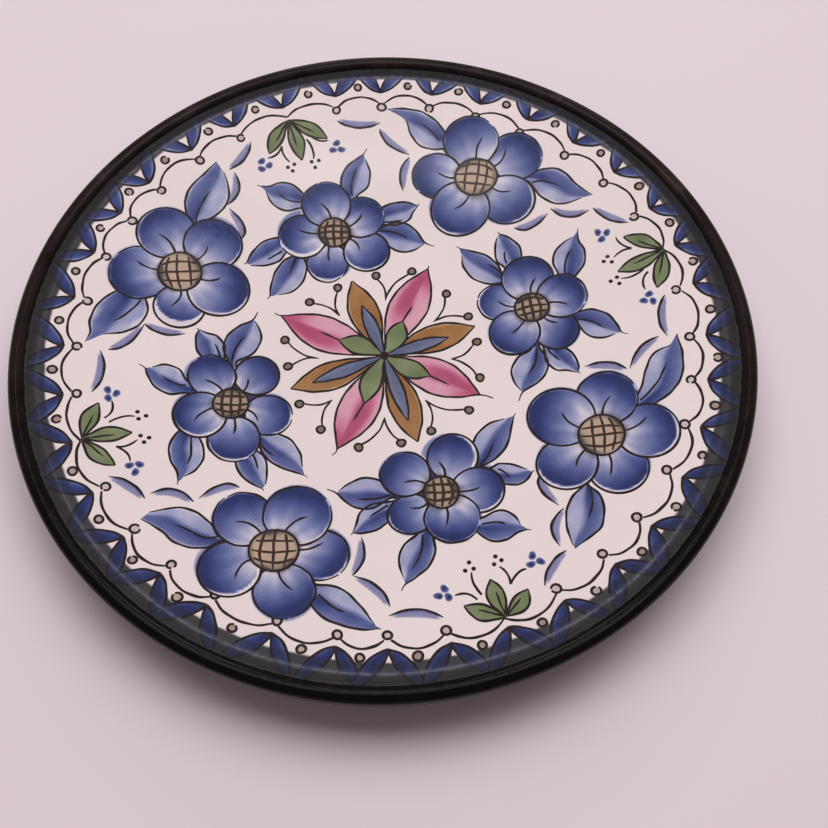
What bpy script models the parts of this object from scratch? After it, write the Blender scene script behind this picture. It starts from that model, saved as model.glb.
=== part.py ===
"""A hand painted ceramic plate: a shallow saucer of clay with a foot ring and a rounded lip, a white glaze
in the well, a dark glaze over the lip and outside, and thin painted motifs fired onto the white.

Units are metres and +Z is up. The origin is the centre of the circle that the foot stands on. The motifs
are laid out in four equal quarters. +Y is the top of the design.
"""

import math

import bmesh
import bpy

# Driving dimensions of the finished, glazed plate
PLATE_RADIUS = 0.065
PLATE_HEIGHT = 0.0144
WELL_DEPTH = 0.00805
FLOOR_RADIUS = 0.012  # the flat middle of the well
FLARE_END_RADIUS = 0.0415  # where the curved flare becomes a straight cone
FLARE_ARC_RADIUS = 0.149  # the curve from the flat floor to the cone, seen in section
LIP_RADIUS = 0.0019  # half the width of the rounded lip
RIM_UNDER_RADIUS = 0.0036  # the fuller curve under the lip
BASE_THICKNESS = 0.00435
FOOT_RADIUS = 0.036
FOOT_WIDTH = 0.0041
FOOT_BEVEL = 0.0005
FOOT_FILLET = 0.001  # the slope between the foot's wall and the cone above it
FOOT_GLAZE_LINE = 0.0012  # the foot is bare clay below this height

# Coats
GLAZE = 0.0004
PAINT = 0.0002
COAT_GAP = 0.0002  # between one coat and the next, so that neighbouring solids stay apart
SKIN_BELOW_PAINT = PAINT + COAT_GAP
CLAY_BELOW_WELL = SKIN_BELOW_PAINT + GLAZE + COAT_GAP
CLAY_BELOW_RIM = GLAZE + COAT_GAP
WELL_GLAZE_STOP = 0.0003  # how far short of the lip the white glaze ends

# Turning
SEGMENTS = 48
LIP_STEPS = 6
UNDER_STEPS = 4
FLARE_STEPS = 4
CONE_STEPS = 2
MERGE = 0.00001

# Derived places
CONE_SLOPE = (FLARE_END_RADIUS - FLOOR_RADIUS) / FLARE_ARC_RADIUS
FLOOR_HEIGHT = PLATE_HEIGHT - WELL_DEPTH
BASE_HEIGHT = FLOOR_HEIGHT - BASE_THICKNESS
LIP_CENTRE_RADIUS = PLATE_RADIUS - LIP_RADIUS
LIP_CENTRE_HEIGHT = PLATE_HEIGHT - LIP_RADIUS
UNDER_CENTRE_RADIUS = PLATE_RADIUS - RIM_UNDER_RADIUS
WELL_GLAZE_RADIUS = LIP_CENTRE_RADIUS - LIP_RADIUS - WELL_GLAZE_STOP
RECESS_RADIUS = FOOT_RADIUS - FOOT_WIDTH

# The painted design, as shares of the plate's radius
QUARTERS = 4
FIELD_RADIUS = 0.798  # flowers and sprigs stay inside this
BORDER_INNER = 0.803
BORDER_OUTER = 0.930
TILE_RISE = 0.002  # how far the flat tiles that cut the motifs reach past the painted coat
TILE_SPARE = 0.02  # how far the tile that cuts the arches reaches out past the border

LARGE_CENTRE = (0.267, 0.583)
LARGE_PETALS = (  # distance and direction in degrees from the flower's centre, then the petal's radius
    (0.114, 26, 0.079),
    (0.122, 106, 0.075),
    (0.122, 172, 0.070),
    (0.115, 243, 0.088),
    (0.125, 311, 0.078),
)
LARGE_LEAVES = (  # base, tip and width
    ((0.175, 0.695), (0.015, 0.808), 0.100),
    ((0.395, 0.560), (0.600, 0.505), 0.095),
)
SMALL_CENTRE = (0.4135, 0.152)
SMALL_PETALS = (
    (0.090, 27, 0.068),
    (0.110, 99, 0.066),
    (0.113, 162, 0.061),
    (0.115, 234, 0.060),
    (0.104, 302, 0.062),
)
SMALL_LEAVES = (
    ((0.345, 0.233), (0.205, 0.365), 0.085),
    ((0.352, 0.295), (0.322, 0.402), 0.068),
    ((0.478, 0.240), (0.535, 0.392), 0.076),
    ((0.498, 0.130), (0.642, 0.062), 0.075),
    ((0.430, 0.022), (0.362, -0.118), 0.085),
    ((0.445, 0.030), (0.522, -0.078), 0.068),
)
SPRIG_BASE = (0.742, 0.278)
SPRIG_LEAVES = (
    ((0.748, 0.284), (0.684, 0.360), 0.042),
    ((0.752, 0.282), (0.656, 0.256), 0.044),
    ((0.748, 0.290), (0.765, 0.185), 0.042),
)
SPRIG_HEART = 0.014
ROSE_PETAL = (0.316, 65.5, 0.105)  # length, direction in degrees and width
OCHRE_PETAL = (0.270, 21.5, 0.078)
ROSETTE_HEART = 0.030
ARCH_COUNT = 36
ARCH_TIP = 0.864
ARCH_VALLEY = 0.902
ARCH_PHASE = 1.1  # direction in degrees of the first arch's tip
SCALLOP_CUSP = 0.822
SCALLOP_BULGE = 0.034
SCALLOP_WIDTH = 0.009
WAVE_POINTS = 4  # points that draw each arch or scallop
PETAL_POINTS = 14
HEART_SHARE = 0.95  # the painted middle of a flower against its first petal
LEAF_POINTS = 4

PAINTS = {  # colour, roughness
    "clay_body": ((0.38, 0.16, 0.09, 1.0), 0.85),
    "well_glaze": ((0.80, 0.71, 0.69, 1.0), 0.12),
    "rim_glaze": ((0.018, 0.012, 0.010, 1.0), 0.15),
    "foot_glaze": ((0.018, 0.012, 0.010, 1.0), 0.25),
    "centre_rosette": ((0.42, 0.09, 0.17, 1.0), 0.15),
    "large_blossom": ((0.05, 0.09, 0.38, 1.0), 0.15),
    "small_blossom": ((0.06, 0.10, 0.40, 1.0), 0.15),
    "leaf_sprig": ((0.12, 0.20, 0.06, 1.0), 0.15),
    "scallop_line": ((0.02, 0.015, 0.012, 1.0), 0.15),
    "arch_border": ((0.03, 0.05, 0.16, 1.0), 0.15),
}


def well_height(radius):
    """Height of the finished well at a distance from the axis."""
    if radius < FLOOR_RADIUS:
        return FLOOR_HEIGHT
    flare = min(radius, FLARE_END_RADIUS) - FLOOR_RADIUS
    return FLOOR_HEIGHT + flare**2 / (2 * FLARE_ARC_RADIUS) + CONE_SLOPE * max(0.0, radius - FLARE_END_RADIUS)


def under_height(radius):
    """Height of the finished cone on the underside, which leaves the curve under the lip on its own slope."""
    end = arc_point(UNDER_CENTRE_RADIUS, LIP_CENTRE_HEIGHT, RIM_UNDER_RADIUS, under_angle())
    return end[1] - CONE_SLOPE * (end[0] - radius)


def under_angle():
    """Direction, in radians, at which the curve under the lip meets the cone."""
    return math.atan(CONE_SLOPE) - math.pi / 2


def arc_point(centre_radius, centre_height, radius, angle):
    return (centre_radius + radius * math.cos(angle), centre_height + radius * math.sin(angle))


def spaced(first, last, steps):
    return [first + (last - first) * i / steps for i in range(steps + 1)]


def well_line(end_radius, inset, start_radius=0.0):
    """Points down the well's section, from start_radius out to end_radius, inset below the surface."""
    breaks = [0.0] + spaced(FLOOR_RADIUS, FLARE_END_RADIUS, FLARE_STEPS)
    breaks += spaced(FLARE_END_RADIUS, PLATE_RADIUS, CONE_STEPS)[1:-1]
    inner = [r for r in breaks if start_radius + MERGE < r < end_radius - MERGE]
    radii = [start_radius] + inner + [end_radius]
    return [(r, well_height(r) - inset) for r in radii]


def rim_line(inset):
    """Points over the lip, under it and in along the cone to the foot's top corner."""
    lip = [
        arc_point(LIP_CENTRE_RADIUS, LIP_CENTRE_HEIGHT, LIP_RADIUS - inset, angle)
        for angle in spaced(math.pi, 0.0, LIP_STEPS)
    ]
    under = [
        arc_point(UNDER_CENTRE_RADIUS, LIP_CENTRE_HEIGHT, RIM_UNDER_RADIUS - inset, angle)
        for angle in spaced(0.0, under_angle(), UNDER_STEPS)[1:]
    ]
    corner = (FOOT_RADIUS + FOOT_FILLET - inset, under_height(FOOT_RADIUS + FOOT_FILLET) + inset)
    fillet = (FOOT_RADIUS - inset, under_height(FOOT_RADIUS) - FOOT_FILLET + inset)
    return lip + under + [corner, fillet]


def collection(name):
    made = bpy.data.collections.new(name)
    bpy.context.scene.collection.children.link(made)
    return made


def material(name):
    colour, roughness = PAINTS[name]
    made = bpy.data.materials.new(name)
    made.diffuse_color = colour
    made.use_nodes = True
    shader = made.node_tree.nodes["Principled BSDF"]
    shader.inputs["Base Color"].default_value = colour
    shader.inputs["Roughness"].default_value = roughness
    shader.inputs["Metallic"].default_value = 0.0
    return made


def turned(name, profile, home, closed):
    """A solid of revolution. The profile is (radius, height) points that run down the solid's outer side."""
    mesh = bpy.data.meshes.new(name)
    count = len(profile)
    edges = [(i, i + 1) for i in range(count - 1)]
    if closed:
        edges.append((count - 1, 0))
    mesh.from_pydata([(radius, 0.0, height) for radius, height in profile], edges, [])
    piece = bpy.data.objects.new(name, mesh)
    home.objects.link(piece)
    screw = piece.modifiers.new("Turn", "SCREW")
    screw.axis = "Z"
    screw.steps = SEGMENTS
    screw.render_steps = SEGMENTS
    screw.use_merge_vertices = True
    screw.merge_threshold = MERGE
    screw.use_smooth_shade = True
    return piece


def evaluated_mesh(piece):
    """A new mesh with the piece's modifiers applied."""
    graph = bpy.context.evaluated_depsgraph_get()
    return bpy.data.meshes.new_from_object(piece.evaluated_get(graph))


def tile(outline, home, inner=None):
    """An upright prism that passes through the well. Its outline is in shares of the plate's radius."""
    curve = bpy.data.curves.new("tile", "CURVE")
    curve.dimensions = "2D"
    curve.fill_mode = "BOTH"
    curve.extrude = PLATE_HEIGHT + TILE_RISE
    for loop in [outline] + ([inner] if inner else []):
        spline = curve.splines.new("POLY")
        spline.points.add(len(loop) - 1)
        for point, (x, y) in zip(spline.points, loop):
            point.co = (x * PLATE_RADIUS, y * PLATE_RADIUS, 0.0, 1.0)
        spline.use_cyclic_u = True
    source = bpy.data.objects.new("tile_curve", curve)
    home.objects.link(source)
    bpy.context.view_layer.update()
    mesh = evaluated_mesh(source)
    weld_caps(mesh)
    piece = bpy.data.objects.new("tile", mesh)
    piece.matrix_world = source.matrix_world.copy()
    home.objects.link(piece)
    bpy.data.objects.remove(source)
    hide(piece)
    return piece


def weld_caps(mesh):
    """Joins a filled curve's loose caps to its sides."""
    cage = bmesh.new()
    cage.from_mesh(mesh)
    bmesh.ops.remove_doubles(cage, verts=cage.verts, dist=MERGE)
    cage.to_mesh(mesh)
    cage.free()


def hide(piece):
    piece.hide_render = True
    piece.display_type = "WIRE"


def boolean(piece, tool, operation):
    cut = piece.modifiers.new(operation.title(), "BOOLEAN")
    cut.operation = operation
    cut.solver = "EXACT"
    cut.object = tool
    return cut


def polar(distance, degrees, centre=(0.0, 0.0)):
    angle = math.radians(degrees)
    return (centre[0] + distance * math.cos(angle), centre[1] + distance * math.sin(angle))


def circle(centre, radius, points=PETAL_POINTS):
    return [polar(radius, 360 * i / points, centre) for i in range(points)]


def leaf(base, tip, width):
    """A pointed leaf: two equal curves from base to tip."""
    along = (tip[0] - base[0], tip[1] - base[1])
    length = math.hypot(*along)
    across = (-along[1] / length * width / 2, along[0] / length * width / 2)
    out = []
    back = []
    for share in spaced(0.0, 1.0, LEAF_POINTS + 1)[1:-1]:
        swell = math.sin(math.pi * share)
        middle = (base[0] + along[0] * share, base[1] + along[1] * share)
        out.append((middle[0] - across[0] * swell, middle[1] - across[1] * swell))
        back.append((middle[0] + across[0] * swell, middle[1] + across[1] * swell))
    return [base] + out + [tip] + back[::-1]


def motif(name, outlines, skin, tools):
    """The painted area that the outlines cover together, as a solid cut from the skin."""
    tiles = [tile(outline, tools) for outline in outlines]
    body = tiles[0]
    for other in tiles[1:]:
        boolean(body, other, "UNION")
    boolean(body, skin, "INTERSECT")
    bpy.context.view_layer.update()
    mesh = evaluated_mesh(body)
    mesh.name = name
    for used in tiles:
        bpy.data.objects.remove(used)
    return mesh


def blossom(centre, petals, leaves):
    """Outlines of a five-petal flower and its leaves."""
    heart = circle(centre, petals[0][2] * HEART_SHARE)
    rounds = [circle(polar(distance, degrees, centre), radius) for distance, degrees, radius in petals]
    return [heart] + rounds + [leaf(*sizes) for sizes in leaves]


def rosette():
    """Outlines of the eight petals round the middle of the plate."""
    outlines = [circle((0.0, 0.0), ROSETTE_HEART)]
    for quarter in range(QUARTERS):
        for length, degrees, width in (ROSE_PETAL, OCHRE_PETAL):
            outlines.append(leaf((0.0, 0.0), polar(length, degrees + 90 * quarter), width))
    return outlines


def bulge(share):
    """Rise of a scallop, which is round at its top."""
    return math.sin(math.pi * share)


def ogee(share):
    """Rise of the line between two arch tips, which is pointed at each tip."""
    return 1 - (2 * share - 1) ** 2


def wavy_ring(lowest, highest, rise):
    """A closed loop whose radius runs from lowest to highest and back in each arch's width."""
    count = ARCH_COUNT * WAVE_POINTS
    loop = []
    for i in range(count):
        share = (i % WAVE_POINTS) / WAVE_POINTS
        radius = lowest + (highest - lowest) * rise(share)
        loop.append(polar(radius, ARCH_PHASE + 360 * i / count))
    return loop


def place(name, mesh, home, quarter=0):
    piece = bpy.data.objects.new(name, mesh)
    piece.rotation_euler.z = math.radians(90 * quarter)
    home.objects.link(piece)
    return piece


def build_body(home):
    """The fired clay: well, lip, underside, foot ring and the recess inside it."""
    foot_outer = FOOT_RADIUS - CLAY_BELOW_RIM
    foot = [
        (foot_outer, FOOT_BEVEL),
        (foot_outer - FOOT_BEVEL, 0.0),
        (RECESS_RADIUS + FOOT_BEVEL, 0.0),
        (RECESS_RADIUS, FOOT_BEVEL),
        (RECESS_RADIUS, BASE_HEIGHT + CLAY_BELOW_RIM),
        (0.0, BASE_HEIGHT + CLAY_BELOW_RIM),
    ]
    lip_inner = LIP_CENTRE_RADIUS - LIP_RADIUS + CLAY_BELOW_RIM
    profile = well_line(lip_inner, CLAY_BELOW_WELL) + rim_line(CLAY_BELOW_RIM) + foot
    return turned("clay_body", profile, home, closed=False)


def build_well_glaze(home):
    top = well_line(WELL_GLAZE_RADIUS, SKIN_BELOW_PAINT)
    bottom = well_line(WELL_GLAZE_RADIUS, SKIN_BELOW_PAINT + GLAZE)
    return turned("well_glaze", top + bottom[::-1], home, closed=False)


def build_rim_glaze(home):
    outer = rim_line(0.0) + [(FOOT_RADIUS, FOOT_GLAZE_LINE)]
    inner = rim_line(GLAZE) + [(FOOT_RADIUS - GLAZE, FOOT_GLAZE_LINE)]
    return turned("rim_glaze", outer + inner[::-1], home, closed=True)


def build_foot_glaze(home):
    radius = RECESS_RADIUS - COAT_GAP
    top = BASE_HEIGHT + GLAZE
    profile = [(0.0, top), (radius, top), (radius, BASE_HEIGHT), (0.0, BASE_HEIGHT)]
    return turned("foot_glaze", profile, home, closed=False)


def paint_skin(name, first, last, tools):
    """The coat that motifs are cut from: a sheet that follows the well between two shares of the radius."""
    start = first * PLATE_RADIUS
    end = last * PLATE_RADIUS
    top = well_line(end, 0.0, start)
    bottom = well_line(end, PAINT, start)
    skin = turned(name, top + bottom[::-1], tools, closed=first > 0)
    hide(skin)
    return skin


def build_motifs(home, tools):
    field = paint_skin("field_skin", 0.0, FIELD_RADIUS, tools)
    place("centre_rosette", motif("centre_rosette", rosette(), field, tools), home)
    heart = circle(SPRIG_BASE, SPRIG_HEART, LEAF_POINTS * 2)
    groups = {
        "large_blossom": blossom(LARGE_CENTRE, LARGE_PETALS, LARGE_LEAVES),
        "small_blossom": blossom(SMALL_CENTRE, SMALL_PETALS, SMALL_LEAVES),
        "leaf_sprig": [heart] + [leaf(*sizes) for sizes in SPRIG_LEAVES],
    }
    for name, outlines in groups.items():
        mesh = motif(name, outlines, field, tools)
        for quarter in range(QUARTERS):
            place(f"{name}_{quarter + 1}", mesh, home, quarter)


def build_border(home, tools):
    border = paint_skin("border_skin", BORDER_INNER, BORDER_OUTER, tools)
    arch_edge = wavy_ring(ARCH_TIP, ARCH_VALLEY, ogee)
    arches = tile(circle((0.0, 0.0), BORDER_OUTER + TILE_SPARE, SEGMENTS), tools, arch_edge)
    lowest = SCALLOP_CUSP - SCALLOP_WIDTH / 2
    inner_edge = wavy_ring(lowest, lowest + SCALLOP_BULGE, bulge)
    outer_edge = wavy_ring(lowest + SCALLOP_WIDTH, lowest + SCALLOP_WIDTH + SCALLOP_BULGE, bulge)
    scallop = tile(outer_edge, tools, inner_edge)
    for name, ring in (("arch_border", arches), ("scallop_line", scallop)):
        boolean(ring, border, "INTERSECT")
        bpy.context.view_layer.update()
        mesh = evaluated_mesh(ring)
        mesh.name = name
        bpy.data.objects.remove(ring)
        place(name, mesh, home)


def finish_materials(home):
    """Gives each mesh the material of its own name. The four copies of a motif share one mesh."""
    for piece in home.objects:
        if not piece.data.materials:
            piece.data.materials.append(material(piece.data.name))


def main():
    for piece in list(bpy.data.objects):
        bpy.data.objects.remove(piece)
    home = collection("hand_painted_plate")
    tools = collection("cutters")
    build_body(home)
    build_well_glaze(home)
    build_rim_glaze(home)
    build_foot_glaze(home)
    build_motifs(home, tools)
    build_border(home, tools)
    finish_materials(home)


main()
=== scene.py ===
"""Looks of a small hand painted ceramic plate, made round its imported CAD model.

Lengths are metres. Places in the painted design are shares of the plate's radius, in the first quarter's
own frame, and each further quarter is turned by 90 degrees. Heights follow the well's turned section.
The paint is a stack of thin closed sheets and pen lines on the white glaze, each one layer above the last.
"""

import math
import random

import bpy
import numpy as np
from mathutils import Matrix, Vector


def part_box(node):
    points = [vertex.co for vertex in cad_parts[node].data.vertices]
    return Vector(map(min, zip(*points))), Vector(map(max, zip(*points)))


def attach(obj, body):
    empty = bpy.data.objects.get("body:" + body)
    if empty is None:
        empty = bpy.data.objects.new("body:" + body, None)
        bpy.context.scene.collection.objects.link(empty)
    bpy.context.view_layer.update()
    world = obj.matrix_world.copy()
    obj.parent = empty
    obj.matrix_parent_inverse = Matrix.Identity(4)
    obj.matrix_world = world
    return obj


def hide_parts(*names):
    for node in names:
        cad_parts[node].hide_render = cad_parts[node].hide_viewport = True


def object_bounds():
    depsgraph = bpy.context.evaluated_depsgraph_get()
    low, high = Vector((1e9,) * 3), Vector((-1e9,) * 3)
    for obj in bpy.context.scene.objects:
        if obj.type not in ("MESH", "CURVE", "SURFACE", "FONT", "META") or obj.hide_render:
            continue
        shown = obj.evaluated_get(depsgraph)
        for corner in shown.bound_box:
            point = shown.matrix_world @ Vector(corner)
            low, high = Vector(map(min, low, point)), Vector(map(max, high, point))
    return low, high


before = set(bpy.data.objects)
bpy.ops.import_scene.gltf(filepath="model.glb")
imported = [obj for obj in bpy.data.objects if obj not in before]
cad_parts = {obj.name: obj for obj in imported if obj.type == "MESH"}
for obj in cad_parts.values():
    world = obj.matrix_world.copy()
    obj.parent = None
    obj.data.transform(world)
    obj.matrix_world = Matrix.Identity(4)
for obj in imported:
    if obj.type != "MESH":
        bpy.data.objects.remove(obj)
CAD_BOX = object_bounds()

RADIUS = CAD_BOX[1].x
CREST = CAD_BOX[1].z
BODY = "root"
RANDOM = random.Random(11)

# The plate's section, as shares of the radius unless a unit is named
COAT = 0.0004  # metres
PAINT = 0.0002  # metres
WELL_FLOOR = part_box("centre_rosette")[0].z + PAINT
FLOOR_RADIUS = 0.1846
FLARE_END = 0.6385
FLARE_ARC = 2.292
CONE_SLOPE = (FLARE_END - FLOOR_RADIUS) / FLARE_ARC
GROUND_SINK = 0.00010  # metres, from the top of the paint's space down to the white
LAYER = 0.000007  # metres, from one coat of paint to the next
SHEET_DEPTH = (0.0, 0.0, 0.00003)  # metres that a sheet of paint reaches into the white
WELL_EDGE = 0.955
LIP = 0.0235
UNDER = 0.05538
UNDER_CENTRE = 0.02923  # how far below the crest the curve under the lip has its centre
UNDER_END = math.atan(CONE_SLOPE) - math.pi / 2  # angle at which that curve runs into the cone
RIDGE_PLACE = 0.924
RIDGE_WIDTH = 0.011
RIDGE_HEIGHT = 0.00004  # metres
RIDGE_START = 0.86
RIDGE_FULL = 0.90
TONGUE_START = 0.944  # where the dark glaze runs out over the white
TONGUE_END = 0.952
TONGUE_RISE = 0.00006  # metres above the white
FILLET = 0.9535
FILLET_RISE = 0.00012  # metres above the finished well
FOOT_RADIUS = 0.5538
RECESS_RADIUS = 0.4908
RECESS_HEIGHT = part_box("foot_glaze")[0].z
FOOT_GLAZE_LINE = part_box("rim_glaze")[0].z
FOOT_BEVEL = 0.0005  # metres
FOOT_CURVE = 0.001  # metres from the cone down to where the wall is upright
FOOT_CORNER = 0.0002  # metres from the cone down to the corner between them
CLAY_GAP = 0.0002  # metres between the glazes and the clay
TURNS = 360

# Pen lines
LINE = 0.0065
LINE_STEP = 0.005
LINE_BEAD = (0.0, 0.0, 0.000005)  # metres that the middle of a line stands above its edges
LINE_STRAY = 0.0011  # how far a line wavers to either side
LINE_SWELL = 0.22  # share by which its width varies
LINE_TAIL = 0.22  # share of its length over which it thins out at its end
CURVE_STEPS = 24

# The large flowers: centre, petals from the lowest up as (distance, degrees, radius, miss x, miss y), and
# the two leaves as (upper edge, lower edge, midrib). The miss is how far the colour lies off its outline.
LARGE_FLOWERS = (
    ((0.265, 0.5865),
     ((0.132, 27, 0.078, 0.0, -0.002), (0.119, 96, 0.082, 0.0, -0.001), (0.115, 176, 0.073, 0.001, 0.0),
      (0.121, 319, 0.079, -0.006, 0.003), (0.113, 245, 0.087, 0.001, 0.004)),
     ((((0.176, 0.735), (0.15, 0.775), (0.105, 0.807), (0.045, 0.82), (0.002, 0.817)),
       ((0.172, 0.682), (0.14, 0.683), (0.102, 0.695), (0.072, 0.735), (0.058, 0.785)),
       ((0.157, 0.71), (0.135, 0.74), (0.103, 0.769))),
      (((0.4265, 0.586), (0.462, 0.599), (0.503, 0.595), (0.5324, 0.572), (0.562, 0.5335), (0.6, 0.5)),
       ((0.4206, 0.56), (0.45, 0.513), (0.485, 0.4865), (0.5206, 0.479), (0.5676, 0.4924)),
       ((0.428, 0.557), (0.465, 0.558), (0.511, 0.535))))),
    ((0.25, 0.58),
     ((0.11, 98, 0.0835, 0.0, 0.0), (0.13, 21, 0.082, 0.0, -0.004), (0.11, 184, 0.0695, 0.021, -0.004),
      (0.129, 319, 0.082, 0.007, 0.002), (0.1196, 247, 0.086, 0.007, 0.001)),
     ((((0.165, 0.75), (0.12, 0.79), (0.07, 0.804), (0.03, 0.799), (-0.002, 0.808)),
       ((0.16, 0.668), (0.12, 0.656), (0.075, 0.67), (0.042, 0.71), (0.027, 0.764)),
       ((0.146, 0.678), (0.1, 0.71), (0.072, 0.745))),
      (((0.4118, 0.566), (0.447, 0.5776), (0.488, 0.5806), (0.535, 0.566), (0.576, 0.5335), (0.62, 0.501)),
       ((0.4118, 0.545), (0.441, 0.495), (0.488, 0.463), (0.535, 0.46), (0.588, 0.4776)),
       ((0.412, 0.5455), (0.465, 0.539), (0.526, 0.51))))),
    ((0.268, 0.594),
     ((0.117, 175, 0.072, 0.003, -0.004), (0.118, 106, 0.0755, 0.001, 0.002),
      (0.119, 28, 0.0775, 0.006, -0.007), (0.12, 313, 0.078, 0.001, 0.001),
      (0.115, 243, 0.087, 0.002, -0.003)),
     ((((0.168, 0.745), (0.14, 0.775), (0.095, 0.797), (0.045, 0.809), (-0.004, 0.808)),
       ((0.16, 0.688), (0.125, 0.69), (0.088, 0.705), (0.047, 0.746), (0.013, 0.797)),
       ((0.152, 0.714), (0.118, 0.746), (0.085, 0.763))),
      (((0.403, 0.574), (0.432, 0.5906), (0.4735, 0.5947), (0.5147, 0.5818), (0.55, 0.552), (0.603, 0.52)),
       ((0.406, 0.561), (0.4324, 0.523), (0.4735, 0.4906), (0.5206, 0.483), (0.585, 0.4994)),
       ((0.4115, 0.561), (0.444, 0.564), (0.482, 0.547), (0.5206, 0.53))))),
    ((0.268, 0.576),
     ((0.106, 18, 0.0775, -0.009, 0.001), (0.1177, 91, 0.081, -0.004, -0.006),
      (0.115, 169, 0.081, 0.001, 0.0), (0.123, 310, 0.079, -0.009, 0.001),
      (0.1194, 238, 0.089, 0.001, 0.0)),
     ((((0.183, 0.722), (0.15, 0.77), (0.1, 0.799), (0.04, 0.805), (-0.025, 0.797)),
       ((0.165, 0.67), (0.13, 0.69), (0.07, 0.709), (0.03, 0.732), (0.01, 0.776)),
       ((0.172, 0.684), (0.115, 0.735), (0.058, 0.763))),
      (((0.4118, 0.529), (0.441, 0.552), (0.4765, 0.563), (0.5235, 0.558), (0.553, 0.5406),
        (0.597, 0.4818)),
       ((0.4118, 0.523), (0.447, 0.4876), (0.488, 0.47), (0.535, 0.467), (0.588, 0.4788)),
       ((0.415, 0.529), (0.465, 0.536), (0.515, 0.522))))),
)
LARGE_DISC = 0.0605
FLOWER_LEVEL = 4  # the lowest petal's place in the stack of layers
HALO = 0.007  # how far the flowers' blue can stray past their outlines

SMALL_FLOWERS = (
    ((0.4134, 0.1493),
     ((0.0948, 167, 0.059, 0.006, 0.001), (0.0997, 310, 0.062, 0.0, 0.001),
      (0.0947, 95, 0.072, 0.0, -0.001), (0.0942, 237, 0.0702, 0.001, 0.003),
      (0.0898, 20, 0.0696, -0.003, 0.001))),
    ((0.4081, 0.1493),
     ((0.1027, 171, 0.062, 0.007, -0.001), (0.113, 237, 0.066, 0.008, 0.0),
      (0.0927, 100, 0.0697, 0.013, 0.0), (0.0926, 304, 0.0668, 0.0, 0.0),
      (0.0951, 16, 0.0725, 0.001, 0.0))),
    ((0.4105, 0.1581),
     ((0.1063, 163, 0.063, 0.003, -0.003), (0.11, 235, 0.0607, 0.001, -0.001),
      (0.1097, 98, 0.069, -0.002, -0.005), (0.1012, 305, 0.0645, 0.003, -0.001),
      (0.0878, 27, 0.0702, 0.002, -0.009))),
    ((0.4199, 0.1534),
     ((0.11, 164, 0.0684, -0.001, -0.01), (0.102, 309, 0.059, -0.002, 0.002),
      (0.0945, 93, 0.0684, -0.007, -0.002), (0.1088, 240, 0.066, 0.001, -0.002),
      (0.0828, 19, 0.0713, -0.003, 0.001))),
)
SMALL_DISC = 0.0465
SMALL_HOME = (0.412, 0.151)  # the centre that the leaves below are drawn round
SMALL_LEAVES = (  # upper edge from base to tip, lower edge, midrib from the base, and the flick past the tip
    (((0.334, 0.262), (0.318, 0.3), (0.286, 0.33), (0.244, 0.346), (0.212, 0.356)),
     ((0.33, 0.236), (0.297, 0.234), (0.252, 0.252), (0.225, 0.29), (0.219, 0.33)),
     ((0.333, 0.252), (0.322, 0.277), (0.292, 0.3)),
     (0.204, 0.362)),
    (((0.39, 0.304), (0.386, 0.35), (0.362, 0.38), (0.33, 0.398)),
     ((0.338, 0.29), (0.32, 0.308), (0.315, 0.345), (0.322, 0.385)),
     ((0.346, 0.3), (0.342, 0.322), (0.345, 0.34)),
     (0.326, 0.404)),
    (((0.542, 0.249), (0.566, 0.285), (0.566, 0.325), (0.552, 0.358), (0.551, 0.386)),
     ((0.49, 0.252), (0.479, 0.29), (0.483, 0.322), (0.505, 0.35), (0.536, 0.368)),
     ((0.509, 0.252), (0.515, 0.3), (0.534, 0.33)),
     (0.553, 0.394)),
    (((0.532, 0.126), (0.575, 0.131), (0.616, 0.112), (0.641, 0.076), (0.652, 0.05)),
     ((0.536, 0.086), (0.56, 0.05), (0.598, 0.037), (0.634, 0.045)),
     ((0.536, 0.101), (0.572, 0.093), (0.609, 0.067)),
     (0.67, 0.04)),
    (((0.43, 0.016), (0.448, -0.025), (0.44, -0.066), (0.41, -0.098), (0.378, -0.12)),
     ((0.404, 0.016), (0.367, -0.01), (0.349, -0.05), (0.355, -0.087), (0.372, -0.116)),
     ((0.42, 0.018), (0.413, -0.03), (0.392, -0.069)),
     (0.366, -0.147)),
    (((0.498, 0.014), (0.52, -0.01), (0.53, -0.045), (0.528, -0.064)),
     ((0.441, 0.005), (0.446, -0.028), (0.47, -0.054), (0.5, -0.059), (0.526, -0.067)),
     ((0.45, 0.014), (0.463, -0.005), (0.48, -0.024)),
     (0.534, -0.07)),
)

SMALL_TIPS = (  # where the flicks of the six leaves end in each quarter
    ((0.205, 0.361), (0.326, 0.403), (0.555, 0.394), (0.671, 0.039), (0.366, -0.147), (0.535, -0.071)),
    ((0.182, 0.333), (0.293, 0.404), (0.552, 0.379), (0.687, 0.058), (0.363, -0.142), (0.506, -0.097)),
    ((0.196, 0.377), (0.307, 0.42), (0.527, 0.415), (0.663, 0.056), (0.357, -0.139), (0.521, -0.074)),
    ((0.186, 0.356), (0.363, 0.396), (0.539, 0.378), (0.704, 0.051), (0.411, -0.144), (0.545, -0.077)),
)

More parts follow.
